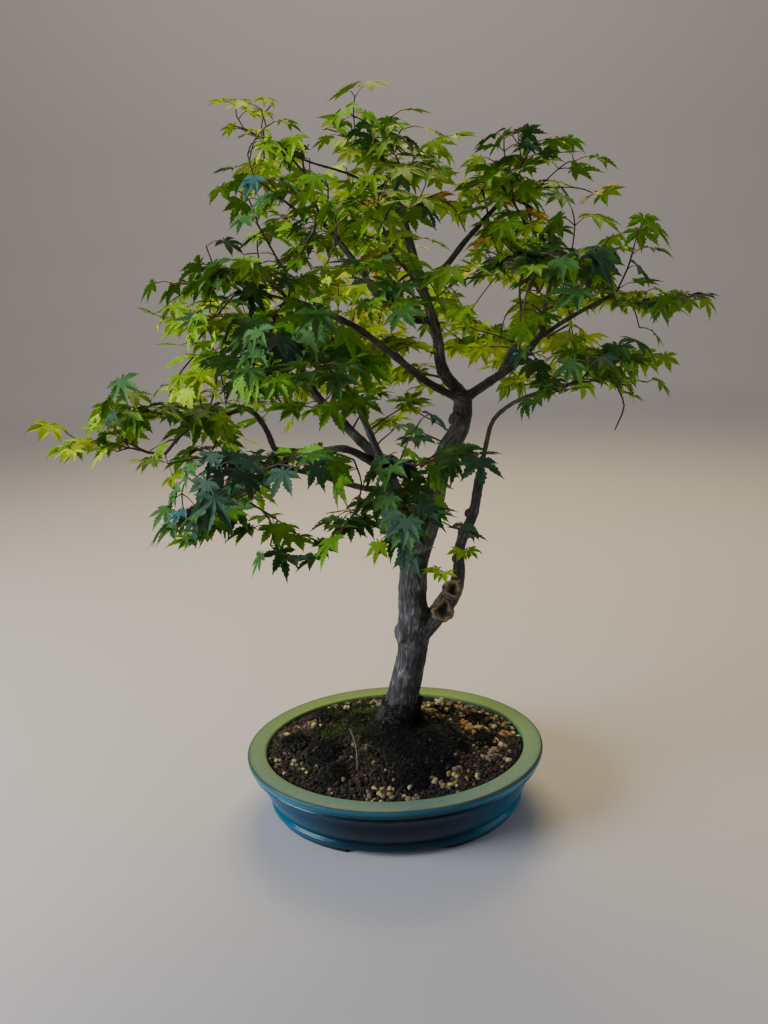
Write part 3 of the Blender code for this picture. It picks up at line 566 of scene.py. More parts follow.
def smooth_line(points, spacing):
    """Points a spacing apart on a smooth curve through the given ones."""
    knots = [Vector(point) for point in points]
    line = []
    for i in range(len(knots) - 1):
        a, b = knots[i], knots[i + 1]
        before = knots[i - 1] if i else a - (b - a)
        after = knots[i + 2] if i + 2 < len(knots) else b + (b - a)
        span = (b - a).length
        pace_a = (b - before) * span / (span + (a - before).length)
        pace_b = (after - a) * span / (span + (after - b).length)
        steps = max(1, round(span / spacing))
        for step in range(steps):
            t = step / steps
            line.append(
                a * (2 * t**3 - 3 * t**2 + 1)
                + pace_a * (t**3 - 2 * t**2 + t)
                + b * (3 * t**2 - 2 * t**3)
                + pace_b * (t**3 - t**2)
            )
    return line + [knots[-1]]


def shares(line):
    """How far along the line each of its points is, from 0 to 1."""
    runs = [0.0]
    for a, b in zip(line, line[1:]):
        runs.append(runs[-1] + (b - a).length)
    return [run / runs[-1] for run in runs]


def point_at(line, share):
    marks = shares(line)
    for i in range(len(line) - 1):
        if share <= marks[i + 1]:
            return line[i].lerp(line[i + 1], (share - marks[i]) / (marks[i + 1] - marks[i]))
    return line[-1].copy()


def limb_lines():
    """name: (line, radii) of the trunk and of each bough, every bough starting inside its parent."""
    knots = [Vector(point) for point, _ in TRUNK]
    line = smooth_line(knots, LIMB_RING)
    radii = np.interp(shares(line), shares(knots), [radius for _, radius in TRUNK])
    limbs = {"trunk": (line, [float(radius) for radius in radii])}
    for name, bough in BOUGHS.items():
        start = point_at(limbs[bough.parent][0], bough.share)
        line = smooth_line([start, *bough.through], LIMB_RING)
        limbs[name] = (line, [bough.thick + (bough.thin - bough.thick) * share for share in shares(line)])
    line, _ = limbs["right_stem"]
    limbs["right_stem"] = (line, [float(radius) for radius in np.interp(shares(line), *zip(*ELBOW_RADII))])
    return limbs


def tubes(name, lines, sides_level, finishes):
    """One object of round tapering tubes, each given as (points, radii), with closed ends."""
    curve = bpy.data.curves.new(name, "CURVE")
    curve.dimensions = "3D"
    curve.bevel_depth = MM
    curve.bevel_resolution = sides_level
    curve.use_fill_caps = True
    for points, radii in lines:
        spline = curve.splines.new("POLY")
        spline.points.add(len(points) - 1)
        for place, point, radius in zip(spline.points, points, radii):
            place.co = (*(Vector(point) * MM), 1)
            place.radius = radius
    return bake_modifiers(show(name, curve, finishes))


def knob_lines(limbs):
    """The stubs where limbs were cut: short tubes that swell towards a blunt end."""
    lines = []
    for limb, share, lean, length, radius in STUBS:
        foot = point_at(limbs[limb][0], share)
        way = Vector(lean).normalized()
        points = [foot + way * length * step for step in (0, 0.5, 0.8, 0.96, 1)]
        lines.append((points, [radius * swell for swell in (0.95, 0.92, 1.04, 1.0, 0.86)]))
    return lines


def root_lines():
    """The surface roots: they leave the trunk's foot and sink into the soil."""
    foot = Vector(TRUNK[0][0])
    lines = []
    for compass, run in ROOTS:
        out = level_way(math.radians(compass))
        start = foot + out * 5 + UP * 18
        points = smooth_line([start, foot + out * 12 + UP * 5, foot + out * run * 0.8 - UP * 9], 4)
        radii = [ROOT_RADIUS + (ROOT_END_RADIUS - ROOT_RADIUS) * share for share in shares(points)]
        lines.append((points, radii))
    return lines


def bark_relief(mesh, limbs):
    """Raises ridges that run along each limb, and rings of old buds. Keeps grain and scars for the finish."""
    marks = []
    for line, radii in limbs.values():
        run = 0.0
        side = (line[1] - line[0]).orthogonal()
        for a, b, radius in zip(line, line[1:], radii):
            way = (b - a).normalized()
            side = (side - way * side.dot(way)).normalized()
            marks.append((a, way, side, run, radius))
            run += (b - a).length
    tree = kdtree.KDTree(len(marks))
    for number, mark in enumerate(marks):
        tree.insert(mark[0], number)
    tree.balance()
    places = np.empty(len(mesh.vertices) * 3)
    normals = np.empty(len(mesh.vertices) * 3)
    mesh.vertices.foreach_get("co", places)
    mesh.vertex_normals.foreach_get("vector", normals)
    places = places.reshape(-1, 3) / MM
    normals = normals.reshape(-1, 3)
    grains = np.empty_like(places)
    waves = np.empty(len(places))
    for index, spot in enumerate(places):
        spot = Vector(spot)
        _, number, _ = tree.find(spot)
        point, way, side, run, radius = marks[number]
        away = spot - point
        run += away.dot(way)
        across = Vector((away.dot(side), away.dot(way.cross(side)), 0))
        pattern = across * GRAIN_ACROSS + UP * run * GRAIN_ALONG
        grains[index] = pattern
        ridges = 0.5 - abs(noise.noise(pattern * 1.6)) * 1.8
        waves[index] = noise.noise(spot * 0.23)
        lumps = noise.noise(spot * 0.07) * 1.1 + waves[index] * 0.5
        phase = (run + 7 * noise.noise(point * 0.05)) % BUD_RING_SPACING
        ring = math.exp(-((phase - BUD_RING_SPACING / 2) ** 2) / 3)
        seam = abs(noise.noise(across * 0.2 + UP * run * 0.018))
        rise = radius * (0.022 * ridges + 0.05 * lumps + 0.045 * min(seam, 0.3))
        places[index] += normals[index] * (rise + min(radius, 3.5) * 0.1 * ring)
    scars = np.zeros(len(places))
    for limb, share, lean, length, radius in STUBS[:BARE_CUTS]:
        end = point_at(limbs[limb][0], share) + Vector(lean).normalized() * length
        away = np.linalg.norm(places - np.array(end), axis=1) / radius * (1 + 0.5 * waves)
        scars = np.maximum(scars, np.clip(1 - away / 1.05, 0, 1))
        hollow = 0.14 * np.exp(-(((away - 0.8) / 0.22) ** 2)) - 0.34 * np.exp(-((away / 0.5) ** 2))
        places += normals * hollow[:, None] * radius
    mesh.vertices.foreach_set("co", (places * MM).ravel())
    mesh.attributes.new("grain", "FLOAT_VECTOR", "POINT").data.foreach_set("vector", grains.ravel())
    mesh.attributes.new("scar", "FLOAT", "POINT").data.foreach_set("value", scars)
    mesh.update()


def make_bark(limbs):
    """Trunk and boughs as one skin, swollen where they join, with stubs, surface roots and bark relief."""
    lines = [(line, radii) for line, radii in limbs.values()]
    rough = tubes("bark_of_trunk_and_boughs", [*lines, *knob_lines(limbs), *root_lines()], 5, [maple_bark()])
    skin = rough.modifiers.new("skin", "REMESH")
    skin.mode = "VOXEL"
    skin.voxel_size = BARK_VOXEL * MM
    soften = rough.modifiers.new("soften", "SMOOTH")
    soften.iterations = 3
    bark = bake_modifiers(rough)
    bark_relief(bark.data, limbs)
    bark.data.shade_smooth()
    piece(bark, "bark", "trunk", *BOUGHS)


def as_array(points):
    return np.array([list(point) for point in points], float)


def level_way(angle):
    """The level direction at an angle from +X."""
    return Vector((math.cos(angle), math.sin(angle), 0))


def random_direction(rng):
    return Vector(rng.normal(size=3)).normalized()


class Space:
    """The room that one mass of leaves may fill: its own ellipsoid, as far as no other mass's is nearer, and
    clear of every limb."""

    def __init__(self, name, limbs):
        self.middle = np.array(MASSES[name].middle, float)
        self.size = np.array(MASSES[name].size, float)
        others = [mass for other, mass in MASSES.items() if other != name]
        self.other_middles = np.array([mass.middle for mass in others], float)
        self.other_sizes = np.array([mass.size for mass in others], float)
        self.starts = np.concatenate([as_array(line[:-1]) for line, _ in limbs.values()])
        self.ends = np.concatenate([as_array(line[1:]) for line, _ in limbs.values()])
        self.thick = np.concatenate([radii[:-1] for _, radii in limbs.values()])

    def holds(self, points):
        """Whether all the points are inside, clear of the neighbouring spaces and of the limbs."""
        points = as_array(points)
        depth = np.linalg.norm((points - self.middle) / self.size, axis=1)
        if depth.max() > SPACE_REACH:
            return False
        other_depths = np.linalg.norm((points[:, None] - self.other_middles) / self.other_sizes, axis=-1)
        if (other_depths.min(axis=1) < depth + SPACE_CLEARANCE / self.size.min()).any():
            return False
        along = self.ends - self.starts
        share = ((points[:, None] - self.starts) * along).sum(-1) / (along * along).sum(-1)
        nearest = self.starts + np.clip(share, 0, 1)[..., None] * along
        away = np.linalg.norm(points[:, None] - nearest, axis=-1)
        return bool((away > self.thick + LIMB_CLEARANCE).all())


def apart(points, others, clearance):
    """Whether no point comes close to any of the others."""
    if not others:
        return True
    steps = as_array(points)[:, None] - np.concatenate(others)
    return bool(np.linalg.norm(steps, axis=-1).min() > clearance)


class Twigs:
    """The twigs of one mass: points, each with the point that it grew from. The first three are the stem."""

    def __init__(self, start, heading, goal):
        self.points = [start]
        self.parents = [None]
        self.headings = [heading]
        self.load = [0]
        bend = (heading + (goal - start).normalized()).normalized()
        self.add(start + heading * 3, 0)
        self.add(self.points[1] + bend * 6, 1)

    def add(self, point, parent):
        self.points.append(point)
        self.parents.append(parent)
        self.headings.append((point - self.points[parent]).normalized())
        self.load.append(0)
        return len(self.points) - 1

    def nearest(self, goal):
        """The point that a twig to the goal best leaves from: near, and not behind its own heading."""
        costs = []
        for point, heading in zip(self.points[2:], self.headings[2:]):
            away = goal - point
            costs.append(away.length * 1.8 - 0.9 * away.dot(heading))
        return int(np.argmin(costs)) + 2

    def carry(self, index):
        """Adds a shoot's load to a twig's end and to all that it grew from."""
        while index is not None:
            self.load[index] += 1
            index = self.parents[index]

    def radius(self, index):
        return TWIG_RADIUS * max(1, self.load[index]) ** (1 / PIPE_POWER)


def leaf_frame(base, axis, up):
    """The matrix of a leaf whose stalk joins it at base, whose middle lobe points along axis, face up."""
    side = up.cross(axis).normalized()
    turn = Matrix((axis, side, axis.cross(side))).transposed().to_4x4()
    return Matrix.Translation(base) @ turn


def leaf_mesh(place, length, rng):
    """A leaf of seven lobes, toothed but for the smallest, each folded along its midrib and hanging."""
    lobes = [(-angle, size, width) for angle, size, width in reversed(LOBES[1:])] + LOBES
    turns = [math.radians(angle + 4 * rng.normal()) for angle, _, _ in lobes]
    curl = 0.02 + 0.24 * rng.random()
    fold = 0.1 + 0.5 * rng.random()
    gaps = [
        ((turn + other) / 2, NOTCH * min(1, one[1] + 0.1, two[1] + 0.1))
        for one, two, turn, other in zip(lobes, lobes[1:], turns, turns[1:])
    ]
    gaps = [(-STALK_GAP_ANGLE, STALK_GAP_DEPTH), *gaps, (STALK_GAP_ANGLE, STALK_GAP_DEPTH)]
    points = [(0.0, 0.0, 0.0)]
    points += [(reach * math.cos(turn), reach * math.sin(turn), -curl * reach**2) for turn, reach in gaps]
    faces = []
    for number, ((_, size, width), turn) in enumerate(zip(lobes, turns)):
        size *= 1 + 0.05 * rng.normal()
        droop = curl * (0.7 + 0.7 * rng.random())
        side, ribs, loops = LARGE_LOBE if size > LARGE_LOBE_LENGTH else SMALL_LOBE
        spots = {"o": 0}
        for hand in (-1, 1):
            spots["n"] = number + 1 + (hand > 0)
            for kind, shape in (("r", ribs), ("s", side)):
                for index, (along, across) in enumerate(shape):
                    if kind == "s" or hand < 0:
                        x, y = along * size, across * width * hand
                        spots[f"{kind}{index}"] = len(points)
                        points.append((
                            x * math.cos(turn) - y * math.sin(turn),
                            x * math.sin(turn) + y * math.cos(turn),
                            fold * abs(y) - droop * x * x,
                        ))
            for loop in loops:
                corners = [spots[mark] for mark in loop.split()]
                faces.append(corners if hand < 0 else corners[::-1])
    corners = np.array(points) * length
    return corners @ np.array(place.to_3x3()).T + np.array(place.translation), faces


def tint_of(spray_painted_light, rng):
    """The finish of a leaf from the painted light of its spray, with a little change from leaf to leaf."""
    steps = {"leaf_shade": 0.14, "leaf_deep": 0.3, "leaf_green": 0.48, "leaf_fresh": 0.68, "leaf_glow": 0.92}
    shine = rng.random()
    # A few leaves in dark sprays get a painted bluish sky reflection, a few in middling ones a painted warm
    # highlight.
    if spray_painted_light < 0.3 and shine < 0.035:
        return "leaf_sky"
    if 0.35 < spray_painted_light < 0.75 and shine < 0.02:
        return "leaf_amber"
    # The brighter the spray's painted light, the lighter and yellower the leaf; the darker, the deeper its
    # painted shade.
    light = spray_painted_light + (0.05 + 0.13 * spray_painted_light) * rng.normal()
    return next((name for name, limit in steps.items() if light < limit), "leaf_young")


def hang_pair(node, heading, mass, spread, rng):
    """Two opposite leaves at a node of a shoot, as (stalk points, leaf matrix, leaf length)."""
    level = Vector((heading.x, heading.y, 0.15 * heading.z)).normalized()
    outward = node - Vector(mass.middle) + (node - CROWN_MIDDLE) * 0.4
    outward.z = 0
    leaves = []
    for side in (-1, 1):
        angle = side * math.radians(spread + 12 * rng.normal())
        way = Quaternion(UP, angle) @ level
        way = (way + outward.normalized() * 0.3 + UP * 0.18 + random_direction(rng) * 0.25).normalized()
        reach = STALK_LENGTH * mass.leaf_scale * (0.7 + 0.6 * rng.random())
        base = node + way * reach - UP * reach * 0.12
        stalk = [node, node + way * reach * 0.5 + UP * reach * 0.05, base]
        droop = mass.droop * (2.1 * rng.random() - 0.25)
        axis = Vector((way.x, way.y, 0)).normalized() - UP * droop
        face = (UP + Vector((way.x, way.y, 0)) * 0.35 + random_direction(rng) * 0.5).normalized()
        length = LEAF_LENGTH * mass.leaf_scale * (0.8 + 0.35 * rng.random())
        leaves.append((stalk, leaf_frame(base, axis.normalized(), face), length))
    return leaves


def leaf_probe(place, length):
    """Points over a leaf, close enough together to find any limb or leaf that would cross it."""
    probe = [place @ Vector((length * share, 0, -length * 0.12 * share**2)) for share in (0.3, 0.65, 0.97)]
    for angle, size, _ in LOBES[1:3]:
        for turn in (-math.radians(angle), math.radians(angle)):
            way = level_way(turn) * length * size
            probe += [place @ (way * share - UP * length * 0.12 * share**2) for share in (0.45, 0.95)]
    return probe


def in_sky(points):
    """Whether the camera sees any of the points in one of the crown's openings."""
    middles, sizes = np.split(np.array(SKY, float), 2, axis=1)
    eye = np.array(EYE)
    points = as_array(points)
    seen = eye + (points - eye) * (eye[1] / (eye[1] - points[:, 1:2]))
    away = (seen[:, None, [0, 2]] - middles) / sizes
    return bool((np.linalg.norm(away, axis=-1) < 1).any())


def shoot_tips(space, mass, rng):
    """The tips of the mass's shoots, drawn towards level tiers. They stand well apart at first, and less so
    as the room runs out."""
    tips = []
    wanted = round(mass.shoots * SHOOTS_SHARE)
    tries = TRIES_PER_SHOOT * wanted
    for turn in range(tries):
        reach = 0.2 + 0.75 * rng.random() ** 0.6
        tip = Vector(space.middle + np.array(random_direction(rng)) * space.size * reach)
        tier = (math.floor(tip.z / TIER_HEIGHT) + 0.5) * TIER_HEIGHT
        tip.z += TIER_PULL * (tier - tip.z)
        spacing = SHOOT_SPACING * mass.leaf_scale * (1 - 0.45 * turn / tries)
        if in_sky([tip]) and rng.random() > SKY_LEAVES:
            continue
        if all((tip - other).length > spacing for other in tips) and space.holds([tip]):
            tips.append(tip)
        if len(tips) == wanted:
            break
    return tips


def grow_wood(twigs, tip, rng):
    """Grows a twig to the tip from the nearest point of those already grown, as (chain of points, line)."""
    source = twigs.nearest(tip)
    start = twigs.points[source]
    length = (tip - start).length
    knee = start.lerp(tip, 0.5) + twigs.headings[source] * length * 0.12 + UP * 0.08 * length
    knee += random_direction(rng) * length * 0.08
    wood = smooth_line([start, knee, tip], TWIG_RING)
    end = source
    chain = [source]
    for point in [*wood[2:-1:2], tip]:
        end = twigs.add(point, end)
        chain.append(end)
    twigs.carry(end)
    return chain, wood


def shoot_nodes(wood, mass, rng):
    """The nodes of a shoot that carry a pair of leaves, from the tip back: (share of its length, spread)."""
    nodes = [(1.0, TIP_SPREAD)]
    length = (wood[-1] - wood[0]).length
    run = NODE_SPACING * mass.leaf_scale * (0.8 + 0.4 * rng.random())
    while run < length * 0.9 and len(nodes) < MOST_NODES:
        nodes.append((1 - run / length, NODE_SPREAD))
        run += NODE_SPACING * mass.leaf_scale * (1 + 0.6 * rng.random())
    return nodes


def grow(name, limbs):
    """Grows one mass by its seeded rule: shoot tips are placed first, and from the nearest to the furthest a
    twig reaches each from the nearest point of those already grown. Pairs of leaves stand at its last nodes.
    A leaf that would leave the mass's space, or touch a limb or another leaf, is turned or left out. A shoot
    ends at its last leaves, unless another grows from it."""
    mass = MASSES[name]
    rng = np.random.default_rng(mass.seed)
    space = Space(name, limbs)
    line, _ = limbs[mass.bough]
    twigs = Twigs(line[-1], (line[-1] - line[-2]).normalized(), Vector(mass.middle))
    tips = shoot_tips(space, mass, rng)
    tips.sort(key=lambda tip: (tip - twigs.points[0]).length)
    shoots = []
    stalks = []
    leaves = []
    probes = []
    for tip in tips:
        chain, wood = grow_wood(twigs, tip, rng)
        heading = (wood[-1] - wood[-2]).normalized()
        leafy = 0.0
        # Painted light: a shoot towards the back of its mass gets lighter, more backlit leaf colours.
        light = mass.light + 0.1 * rng.normal() + 0.25 * (tip.y - space.middle[1]) / 60
        for share, spread in shoot_nodes(wood, mass, rng):
            node = point_at(wood, share)
            for side in range(2):
                for _ in range(TRIES_PER_LEAF):
                    stalk, place, size = hang_pair(node, heading, mass, spread, rng)[side]
                    probe = leaf_probe(place, size)
                    if in_sky(probe[:3]) and rng.random() > SKY_LEAVES:
                        continue
                    if space.holds([*stalk[1:], *probe]) and apart(probe, probes, LEAF_CLEARANCE):
                        probes.append(as_array(probe))
                        stalks.append(smooth_line(stalk, TWIG_RING))
                        leaves.append((*leaf_mesh(place, size, rng), tint_of(light, rng)))
                        leafy = max(leafy, share)
                        break
        shoots.append((chain, wood, leafy))
    sources = {chain[0] for chain, _, _ in shoots}
    kept = []
    for chain, wood, leafy in shoots:
        if leafy < 1 and sources.isdisjoint(chain[1:]):
            below = [point for share, point in zip(shares(wood), wood) if share < leafy]
            wood = [*below, point_at(wood, leafy)]
        if len(wood) > 1:
            kept.append((chain, wood))
    return twigs, kept, stalks, leaves


def make_foliage(limbs):
    """Every mass's leaves are one piece. All the twigs together are one, and so are all the stalks."""
    finishes = leaf_finishes()
    order = list(finishes)
    wood = []
    stems = []
    for name in MASSES:
        twigs, shoots, stalks, leaves = grow(name, limbs)
        parts = [(corners, faces, order.index(tint)) for corners, faces, tint in leaves]
        spray = joined(f"spray_of_{name}", parts, finishes.values())
        piece(spray, "foliage", name)
        wood.append((twigs.points[:3], [max(twigs.radius(index), STEM_RADIUS) for index in range(3)]))
        for chain, points in shoots:
            start = min(twigs.radius(chain[0]), twigs.radius(chain[1]) * 1.15)
            ends = [start, *(twigs.radius(index) for index in chain[1:])]
            wood.append((points, np.interp(shares(points), np.linspace(0, 1, len(chain)), ends)))
        for points in stalks:
            stems.append((points, np.linspace(STALK_RADIUS * 1.2, STALK_RADIUS * 0.8, len(points))))
    # Young maple wood: thin, smooth and reddish brown.
    twig_bark = plain("twig_bark", "#402c21", 0.6)
    # Leaf stalks: redder than the wood, and a little glossy.
    stalk_skin = plain("stalk_skin", "#6f3d30", 0.45)
    piece(tubes("fine_twigs", wood, 1, [twig_bark]), "bark").data.shade_smooth()
    piece(tubes("leaf_stalks", stems, 0, [stalk_skin]), "foliage").data.shade_smooth()


def make_sprouts(limbs):
    """Short shoots with a few leaves on the old wood, inside the crown and beside the right stem."""
    rng = np.random.default_rng(3)
    finishes = leaf_finishes()
    wood = []
    parts = []
    for limb, share, lean, run, size, kind, turns in SPROUTS:
        foot = point_at(limbs[limb][0], share)
        way = Vector(lean).normalized()
        tip = foot + way * run
        wood.append(([foot, foot + way * run * 0.5 + UP, tip], [0.9, 0.6, 0.45]))
        for turn in turns:
            out = (Quaternion(UP, math.radians(turn)) @ way).normalized()
            base = tip + out * size * 0.45
            wood.append(([tip, tip + out * size * 0.2 + UP, base], [0.4, 0.35, 0.3]))
            axis = (out - UP * (0.2 + 0.8 * rng.random())).normalized()
            face = (UP - out * 0.2 + random_direction(rng) * 0.3).normalized()
            corners, faces = leaf_mesh(leaf_frame(base, axis, face), size * (0.8 + 0.3 * rng.random()), rng)
            parts.append((corners, faces, kind))
    piece(joined("sprout_leaves", parts, finishes.values()), "foliage")
    # This year's shoots on old wood: dull brown, lighter than the twigs.
    sprout_bark = plain("sprout_bark", "#4a3a22", 0.6)
    piece(tubes("sprout_twigs", wood, 1, [sprout_bark]), "bark").data.shade_smooth()


def oval_scale(reach):
    """How much a round outline of this reach is drawn in to make the pot's oval, with a rim of even width."""
    return 1 - (POT_LENGTH - POT_WIDTH) / 2 / max(reach, OVAL_CORE)


def oval_reach(x, y):
    """How far a place on the oval was from the axis before it was drawn in."""
    reach = math.hypot(x, y)
    for _ in range(7):
        reach = math.hypot(x, y / oval_scale(reach))
    return reach


def turned(profile, steps):
    """A bmesh of a profile, given as (radius, height) pairs, turned round the pot's axis."""
    bm = bmesh.new()
    verts = [bm.verts.new((radius, 0, height)) for radius, height in profile]
    geom = verts + [bm.edges.new(pair) for pair in zip(verts, verts[1:])]
    bmesh.ops.spin(bm, geom=geom, axis=UP, cent=(0, 0, 0), steps=steps, angle=math.tau, use_merge=True)
    return bm


def draw_in(bm):
    for vert in bm.verts:
        vert.co.y *= oval_scale(math.hypot(vert.co.x, vert.co.y))


def soil_height(x, y):
    """The height of the soil at a place: a low mound with mossy clumps on it, raised round the trunk's foot,
    which meets the pot at its edge."""
    reach = oval_reach(x, y)
    climb = min(max((SOIL_REACH - reach) / (SOIL_REACH - MOUND_PLATEAU), 0), 1)
    height = SOIL_EDGE + (MOUND_TOP - SOIL_EDGE) * climb**1.3
    foot = math.dist((x, y), FOOT_MOSS_MIDDLE) / FOOT_MOSS_REACH
    swell = FOOT_MOSS_RISE * max(0, 1 - foot) ** 1.3
    for at_x, at_y, radius, rise in CLUMPS:
        dome = 1 - ((x - at_x) ** 2 + (y - at_y) ** 2) / (radius * 0.9) ** 2
        swell = max(swell, rise * max(0, dome) ** 0.7)
    collar = FOOT_COLLAR * min(1, max(0, (26 - math.dist((x, y), FOOT_COLLAR_MIDDLE)) / 12))
    inner = min(1, max(0, (SOIL_REACH - reach) / 12))
    lumps = noise.noise(Vector((x, y, 0)) * 0.09) * 1.6 + noise.noise(Vector((x, y, 9)) * 0.3) * 0.9
    return height + inner * (swell + lumps) + collar


def mossiness(x, y):
    """How mossy the soil is at a place, from 0 to 1: round the trunk and on the clumps."""
    moss = max(0.0, 1.5 - math.dist((x, y), FOOT_MOSS_MIDDLE) / 34)
    for at_x, at_y, radius, _ in [*CLUMPS, *GREEN_MOSS]:
        moss = max(moss, 1.3 - math.hypot(x - at_x, y - at_y) / radius)
    return min(1, moss + 0.45 * noise.noise(Vector((x, y, 3)) * 0.07))


def make_soil():
    """The soil: a turned mound, its top raised into lumps and clumps."""
    profile = [(reach, MOUND_TOP) for reach in np.linspace(0.5, SOIL_REACH - 0.6, 52)]
    profile += [(SOIL_REACH - 2.5, SOIL_EDGE - SOIL_SKIRT), (0.5, SOIL_EDGE - SOIL_SKIRT)]
    bm = turned(profile, SOIL_STEPS)
    draw_in(bm)
    for vert in bm.verts:
        if vert.co.z > SOIL_EDGE:
            vert.co.z = soil_height(vert.co.x, vert.co.y)
    bmesh.ops.holes_fill(bm, edges=bm.edges)
    bmesh.ops.recalc_face_normals(bm, faces=bm.faces)
    soil = from_bmesh("soil_mound", bm, [damp_loam()])
    soil.data.shade_smooth()
    piece(soil, "soil", "soil")


def shape_of(bm):
    """The points and faces of a small bmesh, to repeat."""
    points = as_array(vert.co for vert in bm.verts)
    faces = [[vert.index for vert in face.verts] for face in bm.faces]
    bm.free()
    return points, faces


def stone_shapes(rng):
    """A few irregular stones to repeat."""
    shapes = []
    for _ in range(8):
        bm = bmesh.new()
        bmesh.ops.create_icosphere(bm, subdivisions=1, radius=1)
        squash = Vector((1, 0.75 + 0.25 * rng.random(), 0.55 + 0.3 * rng.random()))
        for vert in bm.verts:
            vert.co = vert.co * squash * (0.85 + 0.3 * rng.random())
        shapes.append(shape_of(bm))
    return shapes


def scatter_place(rng):
    """A random place on the soil."""
    while True:
        x = rng.uniform(-SOIL_REACH, SOIL_REACH)
        y = rng.uniform(-SOIL_REACH, SOIL_REACH)
        if oval_reach(x, y) < SOIL_REACH - SCATTER_MARGIN:
            return x, y


def greenness(x, y):
    """How green the moss is at a place, from 0 to 1."""
    shades = []
    for at_x, at_y, radius, green in GREEN_MOSS:
        shades.append(green * max(0, 1 - (math.hypot(x - at_x, y - at_y) / radius) ** 2))
    return max(shades)


def stone_kind(x, y, rng):
    """The finish and the size of a granule at a place: pale and large in the pale patches, else dark."""
    shine = rng.random()
    for at_x, at_y, radius, share, ochre in PALE_PATCHES:
        if shine < share * (1 - ((x - at_x) ** 2 + (y - at_y) ** 2) / (radius * 1.3) ** 2):
            kind = rng.choice(OCHRE_KINDS if ochre else PALE_KINDS)
            return int(kind), PALE_SIZE * (0.6 + 0.65 * rng.random())
    if shine > 1 - STRAY_PALE:
        return int(rng.choice(STRAY_KINDS)), PALE_SIZE * (0.6 + 0.3 * rng.random())
    return int(rng.choice(DARK_KINDS, p=[0.42, 0.38, 0.2])), GRANULE_SIZE * (0.55 + 0.6 * rng.random())


def make_granules():
    """The granules on top of the soil: nearly black ones all over, and the pale ones in their places."""
    rng = np.random.default_rng(21)
    shapes = stone_shapes(rng)
    stones = []
    while len(stones) < GRANULES:
        x, y = scatter_place(rng)
        if mossiness(x, y) > 0.3 + 0.35 * rng.random() and rng.random() > GRANULES_IN_MOSS:
            continue
        kind, size = stone_kind(x, y, rng)
        corners, faces = shapes[rng.integers(len(shapes))]
        turn = np.array(Quaternion(random_direction(rng), rng.uniform(0, math.tau)).to_matrix())
        centre = np.array([x, y, soil_height(x, y) + size * 0.12])
        stones.append((corners @ turn.T * size / 2 + centre, faces, kind))
    piece(joined("granules", stones, granule_finishes(), smooth=True), "soil")


def make_dead_stem():
    """A thin pale dead stem that stands in the moss before the trunk."""
    x, y = -31, -46
    foot = Vector((x, y, soil_height(x, y) - 1))
    bends = [Vector(bend) for bend in ((0, 0, 0), (0.5, 2, 12), (-1, 6, 24), (-4.5, 9, 33))]
    line = smooth_line([foot + bend for bend in bends], 3)
    # Dead wood, long dry: pale, grey and dull.
    dry_wood = plain("dead_stem", "#7d6d58", 0.8)
    stem = tubes("dead_stem", [(line, [0.55] * len(line))], 1, [dry_wood])
    stem.data.shade_smooth()
    piece(stem, "soil")


def moss_kind(green, rng):
    """The finish of a tuft about as green as given, from 0 for nearly black to 3 for fresh."""
    return int(np.clip(round(green + 0.6 * rng.normal()), 0, 3))


def stood(corners, size, way, spot):
    """A tuft's points at its size, stood on its spot along its way."""
    turn = np.array(way.to_track_quat("Z", "Y").to_matrix())
    return (corners * np.array(size)) @ turn.T + np.array(spot)


def make_moss():
    """Moss: tufts of fine pointed stalks, thick round the trunk's foot and on the clumps."""
    rng = np.random.default_rng(8)
    cone = bmesh.new()
    bmesh.ops.create_cone(cone, segments=3, radius1=0.5, radius2=0, depth=1)
    bmesh.ops.translate(cone, vec=(0, 0, 0.5), verts=cone.verts)
    corners, faces = shape_of(cone)
    tufts = []
    while len(tufts) < TUFTS:
        x, y = scatter_place(rng)
        moss = mossiness(x, y)
        if moss < 0.25 + 0.35 * rng.random() or math.dist((x, y), TRUNK[0][0][:2]) < 12:
            continue
        way = (UP + random_direction(rng) * 0.85).normalized()
        size = (1.0, 1.0, 1.8 + 2.4 * rng.random())
        green = 0.5 * noise.noise(Vector((x, y, 5)) * 0.06) + greenness(x, y)
        kind = moss_kind(0.3 + 2.3 * green, rng)
        spot = (x, y, soil_height(x, y) - 0.6)
        tufts.append((stood(corners, size, way, spot), faces, kind))
    xs, ys, heights, radii = zip(*((*point, radius) for point, radius in TRUNK))
    for _ in range(CLIMBING_TUFTS):
        height = heights[0] + 4 + 22 * rng.random() ** 2.4
        out = level_way(rng.uniform(0, math.tau))
        x, y, radius = (np.interp(height, heights, column) for column in (xs, ys, radii))
        spot = np.array([x, y, height]) + np.array(out) * (radius + 0.4 + 2.4 * rng.random() ** 2)
        way = (out + UP * 0.5 + random_direction(rng) * 0.6).normalized()
        kind = moss_kind(0.6 + 0.9 * (out.x < 0), rng)
        size = (1.1, 1.1, 1.6 + 1.4 * rng.random())
        tufts.append((stood(corners, size, way, spot), faces, kind))
    piece(joined("moss", tufts, moss_finishes()), "soil")


def arc(centre, wide, high, start, stop, steps):
    """Points on a stretch of an ellipse from one angle to another, in degrees."""
    angles = np.radians(np.linspace(start, stop, steps))
    return [(centre[0] + wide * math.cos(a), centre[1] + high * math.sin(a)) for a in angles]


